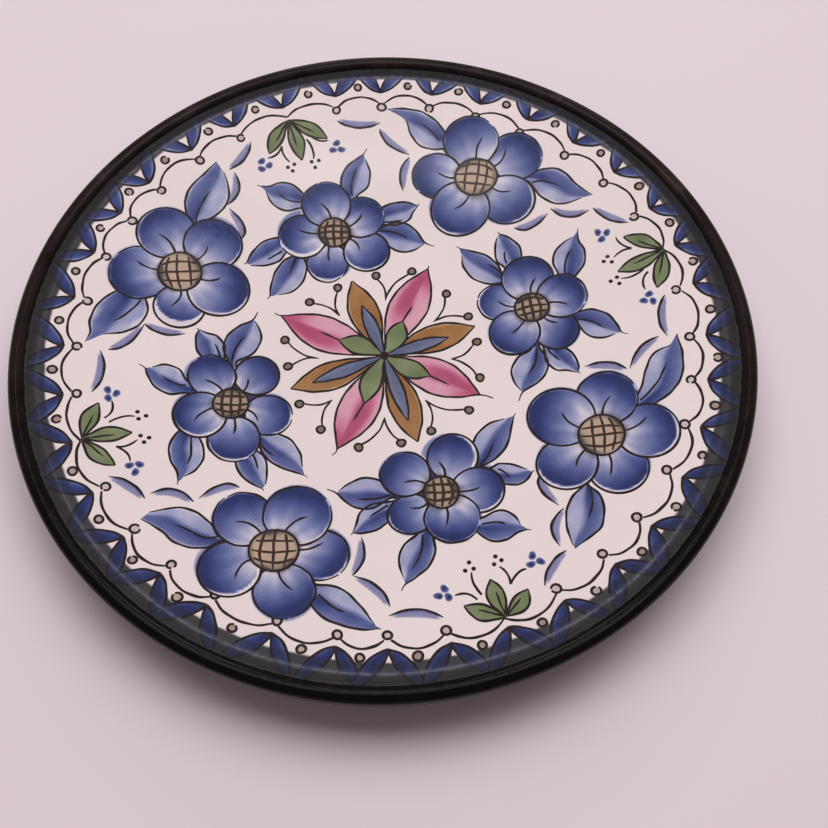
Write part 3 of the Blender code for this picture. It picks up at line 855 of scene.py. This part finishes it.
def stamen(vertex, one, two, ink, seed):
    """Two curved arms from one vertex, each ending in a ringed dot."""
    vertex = np.asarray(vertex, float)
    for dot, sign in ((one, 1), (two, -1)):
        dot = np.asarray(dot, float)
        along = dot - vertex
        side = np.array((-along[1], along[0]))
        end = dot - along / np.hypot(*along) * STAMEN_DOT
        middle = (vertex + end) / 2 - sign * side * 0.11
        ink.line((vertex, middle, end), 1, width=LINE * 0.92, thin_start=0.5, thin_end=0.9)
        places, _ = round_grid(dot, STAMEN_DOT, size=10, swell=0.02)
        seed.sheet(places, 0.80, 2)
        ink.line(circle_points(dot, STAMEN_DOT, 10, 0.03, RANDOM.uniform(0, 3)), 3, closed=True)


def leaf_sprig(quarter, stuffs):
    """Three green leaves from one base, with four stems, six dots and two blue trefoils."""
    base, *ends = [np.array(place) for place in SPRIGS[quarter]]
    tips = ends[:3]
    trefoils = ends[3:]
    name = f"leaf_sprig_{quarter + 1}"
    green = Paint(f"{name}_green", "green_enamel", stuffs["green"], quarter, (name,))
    ink = Paint(f"{name}_ink", "ink_enamel", stuffs["ink"], quarter, (name,))
    blue = Paint(f"{name}_blue", "blue_enamel", stuffs["deep_blue"], quarter)
    for layer, (place, width, bend) in enumerate(SPRIG_LEAVES):
        level = 2 * layer + 1
        coloured_petal(green, ink, base, tips[place], width, level, green_tone, 0.55, bend)
        rib = [base + (tips[place] - base) * share for share in (0.06, 0.35, 0.66)]
        ink.line(rib, level + 1, width=LINE * 0.85, thin_start=1.0, thin_end=0.4)
    for stem in SPRIG_STEMS:
        ink.line([base + np.array(point) for point in stem], 1, thin_start=0.9, thin_end=0.6)
    for dot in SPRIG_DOTS:
        places, _ = round_grid(base + np.array(dot), SEED_DOT, size=8)
        ink.sheet(places, 1.0, 1)
    for middle in trefoils:
        trefoil(middle, blue)
    make_all(green, ink, blue)


def trefoil(middle, blue):
    """Three soft blue blobs, each with a darker spot."""
    start = RANDOM.uniform(0, 360)
    for blob in range(3):
        place = polar(TREFOIL_REACH, start + 120 * blob, middle)
        places, share = round_grid(place, TREFOIL_BLOB, size=14, swell=0.14, turn=RANDOM.uniform(0, 3))
        spot = place + np.array((RANDOM.uniform(-0.003, 0.003), RANDOM.uniform(-0.003, 0.003)))
        near = np.hypot(places[..., 0] - spot[0], places[..., 1] - spot[1])
        tone = (0.70 + 0.30 * (1 - step(0.003, 0.0065, near))) * (1 - 0.80 * step(0.62, 1.0, share))
        blue.sheet(places, tone, 1 + blob, grain=1.6, shade=0.12)


def brush_arcs(quarter, stuffs):
    """Curved pen lines, each with a soft stippled stroke of blue along one side."""
    ink = Paint(f"brush_arcs_{quarter + 1}_ink", "ink_enamel", stuffs["ink"], quarter)
    blue = Paint(f"brush_arcs_{quarter + 1}_blue", "blue_enamel", stuffs["lilac_blue"], quarter)
    for arc_points in BRUSH_ARCS:
        shift = np.array((RANDOM.uniform(-0.004, 0.004), RANDOM.uniform(-0.004, 0.004)))
        pen = [np.asarray(point) + shift for point in arc_points]
        ink.line(pen, 2, width=LINE * 1.05, thin_start=0.5, thin_end=0.4)
        arc_fill(pen, blue)
    make_all(blue, ink)


def arc_fill(pen, blue):
    """The stroke of blue, widest in its middle and fading outwards and at both ends."""
    count = 26
    columns = 8
    centre = smooth_curve(pen, count)
    along = np.gradient(centre, axis=0)
    side = np.column_stack((-along[:, 1], along[:, 0])) / np.hypot(*along.T)[:, None]
    share = np.linspace(0, 1, count)
    reach = ARC_REACH * np.sin(math.pi * np.clip(0.08 + 0.86 * share, 0, 1)) ** 0.7
    start = RANDOM.uniform(-0.001, 0.002)
    places = between(centre + side * start, centre + side * (start + reach)[:, None], columns)
    across = np.linspace(0, 1, columns)
    fade = 0.62 + 0.38 * (1 - step(0.0, 0.4, across)) - 0.55 * step(0.75, 1.0, across)
    ends = step(0.0, 0.12, share) * (1 - step(0.86, 1.0, share))
    blue.sheet(places, 0.86 * fade[None, :] * ends[:, None], 1, grain=1.6)


def cusp_degrees():
    """All the cusps round the plate in order."""
    return [90 * quarter + degrees for quarter, row in enumerate(CUSPS) for degrees in row]


def pairs_round(cusps):
    """Each cusp with the next one, and the last with the first a full turn on."""
    return zip(cusps, cusps[1:] + [cusps[0] + 360])


def border_lean(degrees):
    return BORDER_LEAN * math.cos(math.radians(degrees - BORDER_LEAN_TURN))


def scallop(stuffs):
    """The scalloped pen line round the painted field, with a small ring at each cusp but four."""
    ink = Paint("scallop_ink", "ink_enamel", stuffs["ink"], 0, ("scallop_line",))
    seed = Paint("scallop_rings", "seed_enamel", stuffs["pale_seed"], 0, ("scallop_line",))
    for place, (first, last) in enumerate(pairs_round(cusp_degrees())):
        bulge = SCALLOP_BULGE + RANDOM.uniform(-0.004, 0.004)
        start = first + (0 if place % 9 == SPRIG_CUSP else SCALLOP_GAP)
        end = last - (0 if (place + 1) % 9 == SPRIG_CUSP else SCALLOP_GAP)
        points = []
        for share in np.linspace(0, 1, 7):
            radius = SCALLOP_CUSP + bulge * math.sin(math.pi * share) ** 0.75
            points.append(polar(radius, start + (end - start) * share))
        ink.line(points, 1, width=LINE * 1.10, thin_start=0.8, thin_end=0.8)
        if place % 9 != SPRIG_CUSP:
            middle = polar(RING_PLACE + RANDOM.uniform(-0.003, 0.003), first)
            open_ring(middle, RING_RADIUS, ink, seed, 0.18)
    make_all(ink, seed)


def open_ring(middle, radius, ink, seed, tone):
    """A small filled ring whose pen line now and then doesn't quite close."""
    radius = radius * RANDOM.uniform(0.92, 1.08)
    places, _ = round_grid(middle, radius, size=10, swell=0.03)
    seed.sheet(places, tone + RANDOM.uniform(-0.05, 0.05), 1)
    gap = RANDOM.choice((0.0, 0.0, 0.35, 0.6))
    start = RANDOM.uniform(0, 2 * math.pi)
    turn = RANDOM.uniform(0, 3)
    if gap:
        pen = circle_points(middle, radius, 12, 0.04, turn, start + gap / 2, 2 * math.pi - gap, closed=False)
    else:
        pen = circle_points(middle, radius, 10, 0.04, turn)
    ink.line(pen, 2, width=LINE * 1.1, closed=not gap, thin_start=0.8, thin_end=0.8, waver=0.5)


def beads(stuffs):
    """Ringed beads between the arches."""
    ink = Paint("bead_ink", "ink_enamel", stuffs["ink"])
    seed = Paint("bead_middles", "seed_enamel", stuffs["bead"])
    for first, last in pairs_round(cusp_degrees()):
        degrees = (first + last) / 2 + RANDOM.uniform(-0.35, 0.1)
        middle = polar(BEAD_PLACE + border_lean(degrees) + RANDOM.uniform(-0.002, 0.002), degrees)
        open_ring(middle, BEAD_RADIUS, ink, seed, 0.36)
    make_all(ink, seed)


def arch_point(step_out, degrees, wide):
    """A place given by how far it lies outwards from an arch's tip and to its side."""
    out, aside = step_out
    angle = math.radians(degrees)
    outwards = np.array((math.cos(angle), math.sin(angle)))
    sideways = np.array((-math.sin(angle), math.cos(angle)))
    return (ARCH_TIP + border_lean(degrees) + out) * outwards + aside * wide * sideways


def arch_tone(along, across, near):
    """Blue that is pale just inside the outer line and deepens towards the inner one and on the near side."""
    pale = np.exp(-(((across - 0.16) / 0.10) ** 2)) * step(0.05, 0.3, along)
    tone = 0.76 + 0.18 * across + 0.10 * wander(along * 4, (1.0, 2.0), 1.0)
    return tone - (0.38 - 0.24 * near) * pale + 0.12 * near


def arches(stuffs):
    """The border of pointed arches, each two blue leaves with a white notch between them."""
    blue = Paint("arch_blue", "blue_enamel", stuffs["arch_blue"], 0, ("arch_border",))
    ink = Paint("arch_ink", "ink_enamel", stuffs["arch_ink"], 0, ("arch_border",))
    for first, last in pairs_round(cusp_degrees()):
        degrees = first + RANDOM.uniform(-0.3, 0.3)
        wide = 1 + 0.5 * ((last - first) / 10 - 1)
        lean = RANDOM.uniform(0.0, 1.0)
        near = step(-0.5, 0.7, -math.sin(math.radians(degrees)))
        for side, level in ((1 - 0.22 * lean, 1), (-1 - 0.13 * lean, 3)):
            edges = (ARCH_OUTER, ARCH_INNER)
            one, two = ([arch_point(point, degrees, wide * side) for point in edge] for edge in edges)
            places, along, across = leaf_grid(one, two, 18, 8)
            blue.sheet(places, arch_tone(along, across, near), level)
            ink.line(one, level + 1, width=LINE * 1.05, thin_start=1.0, thin_end=0.8)
            ink.line(two, level + 1, width=LINE * 0.95, thin_start=1.5, thin_end=0.6)
    make_all(blue, ink)


# ---------------------------------------------------------------- turned pieces


def revolve(name, profile, material, stands_for, closed=False, dent=None):
    """A turned solid. The profile runs down the outer side, and dent moves each place in by some metres."""
    profile = np.asarray(profile, float)
    forward = np.roll(profile, -1, 0) - np.roll(profile, 1, 0)
    if not closed:
        forward[0] = profile[1] - profile[0]
        forward[-1] = profile[-1] - profile[-2]
    normal = np.column_stack((-forward[:, 1], forward[:, 0]))
    normal /= np.maximum(np.hypot(*normal.T), 1e-12)[:, None]
    points = []
    rows = []
    for i, (radius, height) in enumerate(profile):
        if radius < 1e-9:
            rows.append([len(points)] * TURNS)
            points.append((0.0, 0.0, height))
            continue
        rows.append(range(len(points), len(points) + TURNS))
        for j in range(TURNS):
            angle = 2 * math.pi * j / TURNS
            depth = dent(i, angle) if dent else 0.0
            reach = radius - normal[i, 0] * depth
            points.append((reach * math.cos(angle), reach * math.sin(angle), height - normal[i, 1] * depth))
    faces = []
    for here, there in zip(rows, rows[1:] + rows[:1] if closed else rows[1:]):
        for j in range(TURNS):
            k = (j + 1) % TURNS
            face = tuple(dict.fromkeys((here[j], there[j], there[k], here[k])))
            if len(face) > 2:
                faces.append(face)
    finish_piece(new_piece(name, points, faces, material), (stands_for,))


def arc(centre_radius, centre_height, radius, first, last, steps):
    angles = np.linspace(first, last, steps + 1)
    return [(centre_radius + radius * math.cos(a), centre_height + radius * math.sin(a)) for a in angles]


def white_profile():
    """The white glaze: its top from the axis out to the lip, then its underside back in."""
    field = np.linspace(0, RIDGE_START, 40, endpoint=False)
    edge = np.linspace(RIDGE_START, WELL_EDGE, 44)
    top = [(share * RADIUS, white_height(share)) for share in np.concatenate((field, edge))]
    bottom = [(radius, height - COAT) for radius, height in top[::4] + top[-1:]]
    return top + bottom[::-1]


def under_height(share):
    """Height of the underside's cone at a share of the radius."""
    end_radius = 1 - UNDER + UNDER * math.cos(UNDER_END)
    end_height = under_centre() + RADIUS * UNDER * math.sin(UNDER_END)
    return end_height - CONE_SLOPE * (end_radius - share) * RADIUS


def lip_arcs(inset, start, lip_steps, under_steps):
    """The section round the lip and on under it, from an angle on the lip's circle."""
    lip = arc((1 - LIP) * RADIUS, CREST - LIP * RADIUS, LIP * RADIUS - inset, start, 0.0, lip_steps)
    under = arc((1 - UNDER) * RADIUS, under_centre(), UNDER * RADIUS - inset, 0.0, UNDER_END, under_steps)
    return lip + under


def under_centre():
    return CREST - UNDER_CENTRE * RADIUS


def rim_outer(inset):
    """The dark glaze's section over the lip, under it and down the foot, as (radius, height) in metres."""
    tongue = []
    for share in np.linspace(TONGUE_START, TONGUE_END, 5):
        tongue.append((share * RADIUS, white_height(share) + TONGUE_RISE - inset))
    fillet = (FILLET * RADIUS + inset * 0.7, float(well_height(FILLET)) + FILLET_RISE - inset * 0.7)
    foot = np.linspace(wall_top(), FOOT_GLAZE_LINE, 6)
    wall = [(FOOT_RADIUS * RADIUS - inset, height) for height in foot]
    return tongue + [fillet] + lip_arcs(inset, 0.86 * math.pi, 32, 14) + underside(inset) + wall


def wall_top():
    """Height in metres at which the foot's wall leaves the curve into the cone."""
    return under_height(FOOT_RADIUS) - FOOT_CURVE


def underside(inset):
    """The cone under the plate, in to the corner above the foot's wall."""
    shares = np.linspace(0.93, FOOT_RADIUS + 0.03, 12)
    cone = [(share * RADIUS, under_height(share) + inset) for share in shares]
    corner = FOOT_RADIUS + 0.010
    return cone + [(corner * RADIUS - inset, under_height(corner) + inset - FOOT_CORNER)]


def rim_dent(profile):
    """Fine throwing ridges and slight hand unevenness, cut in below the true surface of a profile.

    The places that follow the profile, on the glaze's inner side, are left as they are.
    """
    ridge_places = [(RANDOM.uniform(0, 2 * math.pi), RANDOM.uniform(0.00001, 0.00003)) for _ in profile]
    waves = [(RANDOM.randint(2, 11), RANDOM.uniform(0, 2 * math.pi)) for _ in range(6)]

    def dent(index, angle):
        if index >= len(profile):
            return 0.0
        phase, ridge = ridge_places[index]
        slow = sum(math.sin(count * angle + start) for count, start in waves) / len(waves)
        return 0.00004 + ridge * (1 + 0.4 * math.sin(7 * angle + phase)) + 0.00003 * (1 + slow)

    return dent


def plate_body(stuffs):
    """The turned pieces: white glaze, dark rim, clay, and the dark recess inside the foot."""
    outer = rim_outer(0.0)
    rim = outer + rim_outer(COAT)[::-1]
    revolve("well_white", white_profile(), stuffs["white"], "well_glaze")
    revolve("rim_dark", rim, stuffs["dark"], "rim_glaze", closed=True, dent=rim_dent(outer))
    revolve("clay_plate", clay_profile(), stuffs["clay"], "clay_body")
    revolve("foot_recess_dark", recess_profile(), stuffs["recess"], "foot_glaze")


def clay_profile():
    """The fired clay under the glazes, down to the bare ring that the plate stands on."""
    skin = COAT + CLAY_GAP
    shares = np.linspace(0, WELL_EDGE - 0.002, 40)
    top = [(share * RADIUS, white_height(share) - skin) for share in shares]
    foot_outer = FOOT_RADIUS * RADIUS - skin
    foot_inner = RECESS_RADIUS * RADIUS
    foot = [(foot_outer, wall_top())]
    foot += arc(foot_outer - FOOT_BEVEL, FOOT_BEVEL, FOOT_BEVEL, 0.0, -math.pi / 2, 5)
    foot += arc(foot_inner + FOOT_BEVEL, FOOT_BEVEL, FOOT_BEVEL, -math.pi / 2, -math.pi, 5)
    ceiling = RECESS_HEIGHT + COAT + CLAY_GAP
    foot += [(foot_inner, ceiling), (0.0, ceiling)]
    return top + lip_arcs(skin, math.pi * 0.85, 20, 10) + underside(skin) + foot


def recess_profile():
    """The dark glaze inside the foot ring, with its edge turned down the wall a little."""
    radius = RECESS_RADIUS * RADIUS - 0.0001
    top = RECESS_HEIGHT + COAT
    roll = 0.0012
    steps = np.linspace(0, radius - 0.002, 14)
    upper = [(r, top) for r in steps] + [(radius, top)]
    lower = arc(radius - roll, RECESS_HEIGHT - COAT, roll, 0.0, math.pi / 2, 6)
    low = [(r, RECESS_HEIGHT + 0.00005 * math.sin(r * THROWING)) for r in steps[::-1]]
    return upper + lower[:-1] + low


# ---------------------------------------------------------------- materials


class Net:
    """A material and its nodes, with short ways to add the kinds of node that the looks are made of."""

    def __init__(self, name):
        self.material = bpy.data.materials.new(name)
        self.material.use_nodes = True
        self.nodes = self.material.node_tree.nodes
        self.shader = self.nodes["Principled BSDF"]
        self.place = self.add("ShaderNodeTexCoord").outputs["Object"]
        split = self.add("ShaderNodeSeparateXYZ", {"Vector": self.place})
        self.x, self.y, self.z = split.outputs

    def put(self, socket, value):
        """Links an input to a socket or gives it a value; a colour is given as three shares."""
        if isinstance(value, bpy.types.NodeSocket):
            self.material.node_tree.links.new(value, socket)
        else:
            socket.default_value = (*value, 1.0) if socket.type == "RGBA" else value

    def add(self, kind, inputs=(), **settings):
        node = self.nodes.new(kind)
        for name, value in settings.items():
            setattr(node, name, value)
        for name, value in dict(inputs).items():
            self.put(node.inputs[name], value)
        return node

    def math(self, operation, *values, clamp=False):
        node = self.add("ShaderNodeMath", enumerate(values), operation=operation, use_clamp=clamp)
        return node.outputs[0]

    def times(self, first, *others):
        for other in others:
            first = self.math("MULTIPLY", first, other)
        return first

    def plus(self, first, second):
        return self.math("ADD", first, second)

    def minus(self, first, second):
        return self.math("SUBTRACT", first, second)

    def ramp(self, factor, stops):
        """A colour that follows a value through stops of (place, colour)."""
        node = self.add("ShaderNodeValToRGB", {"Fac": factor})
        elements = node.color_ramp.elements
        while len(elements) < len(stops):
            elements.new(1.0)
        for element, (place, colour) in zip(elements, stops):
            element.position = place
            element.color = (*colour, 1.0)
        return node.outputs["Color"]

    def spread(self, value, low, high, first=0.0, last=1.0):
        """A value mapped smoothly from one range to another."""
        inputs = {"Value": value, "From Min": low, "From Max": high, "To Min": first, "To Max": last}
        return self.add("ShaderNodeMapRange", inputs, interpolation_type="SMOOTHSTEP").outputs["Result"]

    def mix(self, factor, first, second):
        return self.add("ShaderNodeMix", {0: factor, 6: first, 7: second}, data_type="RGBA").outputs[2]

    def noise(self, scale, detail=3.0, roughness=0.5, vector=None):
        vector = self.place if vector is None else vector
        inputs = {"Vector": vector, "Scale": scale, "Detail": detail, "Roughness": roughness}
        return self.add("ShaderNodeTexNoise", inputs).outputs["Fac"]

    def cells(self, scale):
        """How far a place lies from the nearest of a scatter of points."""
        inputs = {"Vector": self.place, "Scale": scale}
        return self.add("ShaderNodeTexVoronoi", inputs, feature="F1").outputs["Distance"]

    def attribute(self, name):
        return self.add("ShaderNodeAttribute", attribute_name=name, attribute_type="GEOMETRY").outputs["Fac"]

    def distance_out(self, centre_y=0.0):
        """How far a place lies from a centre on the Y axis, as a share of the radius."""
        y = self.minus(self.y, centre_y) if centre_y else self.y
        flat = self.add("ShaderNodeCombineXYZ", {"X": self.x, "Y": y}).outputs[0]
        distance = self.add("ShaderNodeVectorMath", {0: flat}, operation="LENGTH").outputs["Value"]
        return self.math("DIVIDE", distance, RADIUS)

    def painted_light_and_shade_line(self, place, width, strength):
        """A broken line round the plate, strongest at a share of the radius, for painted highlights and
        painted shade.
        """
        off = self.math("ABSOLUTE", self.minus(self.distance_out(), place))
        line = self.spread(off, width, 0.0006, 0.0, strength)
        return self.times(line, self.spread(self.noise(700.0, 4.0), 0.34, 0.60, 0.25, 1.0))

    def finish(self, colour, roughness, height=None, strength=0.0, distance=0.0):
        """The material, once its shader has a colour, a roughness and a bump that follows a height."""
        self.put(self.shader.inputs["Base Color"], colour)
        self.put(self.shader.inputs["Roughness"], roughness)
        if height is not None:
            bump = self.add("ShaderNodeBump", {"Height": height, "Strength": strength, "Distance": distance})
            self.put(self.shader.inputs["Normal"], bump.outputs["Normal"])
        return self.material


def dot_screen(net):
    """A fine lattice of soft dots between -0.5 and 0.5, turned 20 degrees."""
    scale = (2 * math.pi / DOT_PITCH,) * 3
    inputs = {"Vector": net.place, "Rotation": (0.0, 0.0, math.radians(20)), "Scale": scale}
    turned = net.add("ShaderNodeMapping", inputs).outputs[0]
    split = net.add("ShaderNodeSeparateXYZ", {"Vector": turned})
    return net.times(net.math("SINE", split.outputs["X"]), net.math("SINE", split.outputs["Y"]), 0.5)


def glossy(net, colour, roughness):
    """Glossy fired glaze of a colour: slightly uneven gloss and a faint ripple."""
    gloss = net.spread(net.noise(900.0, 2.0), 0.3, 0.7, roughness - 0.03, roughness + 0.05)
    return net.finish(colour, gloss, net.noise(55.0, 2.0), 0.05, 0.0006)


def band_shade(net, colour, veil, cover, near_cover=0.40):
    """Darkens a colour under the dark glaze that runs down from the lip, thickest on the far side, with
    painted highlight lines along the ridge inside the lip.
    """
    wobble = net.times(net.minus(net.noise(260.0), 0.5), 0.010)
    distance = net.plus(net.distance_out(BAND_SHIFT * RADIUS), wobble)
    washed = net.mix(net.spread(distance, BAND_RADIUS - 0.003, BAND_RADIUS + 0.005, 0.0, cover), colour, veil)
    thickest = net.spread(net.y, -0.4 * RADIUS, 0.5 * RADIUS, near_cover, 0.88)
    thick = net.times(net.spread(net.distance_out(), 0.920, 0.938), thickest)
    washed = net.mix(thick, washed, (0.013, 0.012, 0.013))
    # Painted highlights: pale broken lines along the ridge, strongest towards the near and far sides.
    ends = net.spread(net.math("ABSOLUTE", net.y), 0.35 * RADIUS, 0.70 * RADIUS, 0.15, 1.0)
    for ridge_highlight in RIDGE_HIGHLIGHT_LINES:
        washed = net.mix(net.times(net.painted_light_and_shade_line(*ridge_highlight), ends), washed, (0.18, 0.18, 0.235))
    return washed


def paint_material(name, stops, grain, band):
    """Enamel whose depth follows the tone on the mesh, broken by a fine dot screen and soft streaks."""
    net = Net(name)
    tone = net.attribute("tone")
    middle = net.times(tone, net.minus(1.12, tone))
    dots = net.times(dot_screen(net), net.attribute("grain"), grain, middle, 4.0)
    cloud = net.times(net.minus(net.noise(420.0, 4.0), 0.5), 0.22, net.spread(tone, 0.02, 0.2))
    depth = net.math("ADD", net.plus(tone, dots), cloud, clamp=True)
    colour = net.mix(net.attribute("shade"), net.ramp(depth, stops), (0.035, 0.032, 0.035))
    if band:
        colour = band_shade(net, colour, (0.017, 0.020, 0.040), 0.62)
    return glossy(net, colour, 0.16)


def ink_material(name, band=False):
    """Brown-black pen lines, thinner and browner in places."""
    net = Net(name)
    colour = net.ramp(net.noise(700.0), INKS)
    colour = net.mix(net.spread(net.attribute("tone"), 1.0, 0.5, 0.0, 0.6), colour, (0.075, 0.040, 0.025))
    if band:
        colour = band_shade(net, colour, (0.012, 0.013, 0.018), 0.60)
    return glossy(net, colour, 0.18)


def white_material():
    """Warm white glaze with faint cloudiness and a few specks, under dark glaze at its edge."""
    net = Net("white_glaze")
    colour = net.ramp(net.noise(60.0, 4.0), ((0.35, tuple(0.965 * c for c in WHITE)), (0.65, WHITE)))
    few = net.spread(net.noise(31.0, 1.0), 0.60, 0.64)
    specks = net.times(net.spread(net.cells(120.0), 0.030, 0.018), few, 0.55)
    colour = net.mix(specks, colour, (0.30, 0.22, 0.18))
    return glossy(net, band_shade(net, colour, (0.024, 0.026, 0.030), 0.97, 0.60), 0.13)


def dark_material(name, roughness):
    """Brown-black glaze with fine turned ridges and pits, browner on the lip's top as wear and as painted
    light, with painted shade and painted highlight lines on the lip.
    """
    net = Net(name)
    cloud = net.noise(180.0, 5.0, 0.6)
    # The lip's top is browner, partly real wear and partly painted light; towards the near side, which faces
    # down into shade, it stays black as painted shade.
    top = net.spread(net.z, CREST - 0.8 * LIP * RADIUS, CREST - 0.25 * LIP * RADIUS)
    worn_and_lit_side = net.spread(net.y, -0.6 * RADIUS, 0.1 * RADIUS, 0.1, 1.0)
    colour = net.mix(net.times(top, worn_and_lit_side), net.ramp(cloud, DARKS), net.ramp(cloud, WORN_AND_LIT_DARKS))
    near = net.spread(net.y, 0.5 * RADIUS, -0.2 * RADIUS, 0.15, 1.0)
    # Painted shade: a near-black line in the groove inside the lip, left off the near side.
    groove_shade = net.times(net.painted_light_and_shade_line(*GROOVE_SHADE_LINE), net.minus(1.0, near))
    colour = net.mix(groove_shade, colour, (0.001, 0.001, 0.001))
    # Painted highlights: pale broken lines on the lip, shown mostly on the near side.
    for lip_highlight in LIP_HIGHLIGHT_LINES:
        line = net.times(net.painted_light_and_shade_line(*lip_highlight), near)
        colour = net.mix(line, colour, (0.120, 0.100, 0.092))
    section = {"X": net.times(net.distance_out(), THROWING * RADIUS), "Y": net.times(net.z, THROWING)}
    ridges = net.noise(1.0, 2.0, vector=net.add("ShaderNodeCombineXYZ", section).outputs[0])
    pits = net.spread(net.cells(900.0), 0.10, 0.28)
    height = net.plus(net.times(ridges, 0.6), net.times(pits, 0.5))
    net.shader.inputs["Specular IOR Level"].default_value = 0.12
    return net.finish(colour, net.spread(cloud, 0.3, 0.8, roughness, roughness + 0.10), height, 0.22, 0.00012)


def clay_material():
    """Bare red-brown earthenware with light grit."""
    net = Net("bare_clay")
    grit = net.noise(1400.0, 5.0, 0.7)
    colour = net.ramp(net.noise(90.0), ((0.3, (0.30, 0.125, 0.070)), (0.7, (0.42, 0.190, 0.110))))
    colour = net.mix(net.spread(grit, 0.55, 0.75), colour, (0.55, 0.36, 0.25))
    return net.finish(colour, net.spread(grit, 0.3, 0.7, 0.78, 0.92), grit, 0.5, 0.0002)


def floor_material():
    """A plain pale pinkish sheet."""
    net = Net("pale_floor")
    colour = net.ramp(net.noise(6.0, 2.0), ((0.3, (0.72, 0.635, 0.675)), (0.7, (0.75, 0.665, 0.700))))
    return net.finish(colour, 0.6)


def make_materials():
    stuffs = {key: paint_material(f"{key}_enamel", *settings) for key, *settings in ENAMELS}
    stuffs["white"] = white_material()
    stuffs["dark"] = dark_material("dark_glaze", 0.10)
    stuffs["recess"] = dark_material("recess_glaze", 0.24)
    stuffs["clay"] = clay_material()
    stuffs["ink"] = ink_material("ink_enamel")
    stuffs["arch_ink"] = ink_material("arch_ink_enamel", band=True)
    return stuffs


def link(thing):
    bpy.context.scene.collection.objects.link(thing)


# ---------------------------------------------------------------- stage, light and camera


def build_stage():
    size = 14 * RADIUS
    mesh = bpy.data.meshes.new("floor")
    corners = [(-size, -size, 0), (size, -size, 0), (size, size, 0), (-size, size, 0)]
    mesh.from_pydata(corners, [], [(0, 1, 2, 3)])
    mesh.materials.append(floor_material())
    floor = bpy.data.objects.new("floor", mesh)
    link(floor)


def soft_light(name, place, size, glow, colour, mirrored):
    """A soft rectangular light that faces the plate. Its glow is how bright its face is."""
    lamp = bpy.data.lights.new(name, "AREA")
    lamp.shape = "RECTANGLE"
    lamp.size, lamp.size_y = size
    lamp.energy = glow * math.pi * lamp.size * lamp.size_y
    lamp.color = colour
    light = bpy.data.objects.new(name, lamp)
    light.location = place
    light.rotation_mode = "QUATERNION"
    light.rotation_quaternion = Vector(place).to_track_quat("Z", "Y")
    light.visible_glossy = mirrored
    link(light)


def build_light():
    world = bpy.data.worlds.new("studio")
    world.use_nodes = True
    background = world.node_tree.nodes["Background"]
    background.inputs["Color"].default_value = (1.0, 0.81, 0.83, 1.0)
    background.inputs["Strength"].default_value = 0.24
    bpy.context.scene.world = world
    for settings in LIGHTS:
        soft_light(*settings)


def build_camera():
    camera = bpy.data.objects.new("camera", bpy.data.cameras.new("camera"))
    camera.data.sensor_width = 36.0
    camera.data.lens = CAMERA_LENS
    camera.data.clip_start = 0.01
    back = Vector((0.0, -math.cos(CAMERA_RISE), math.sin(CAMERA_RISE)))
    camera.location = (Vector(CAMERA_AIM) + back * CAMERA_DISTANCE) * RADIUS
    camera.rotation_mode = "QUATERNION"
    camera.rotation_quaternion = (-back).to_track_quat("-Z", "Y")
    link(camera)
    bpy.context.scene.camera = camera
    bpy.context.scene.view_settings.view_transform = "Standard"


def main():
    build_camera()
    build_stage()
    build_light()
    stuffs = make_materials()
    plate_body(stuffs)
    rosette(stuffs)
    for quarter in range(4):
        large_blossom(quarter, stuffs)
        small_blossom(quarter, stuffs)
        leaf_sprig(quarter, stuffs)
        brush_arcs(quarter, stuffs)
    scallop(stuffs)
    beads(stuffs)
    arches(stuffs)


main()
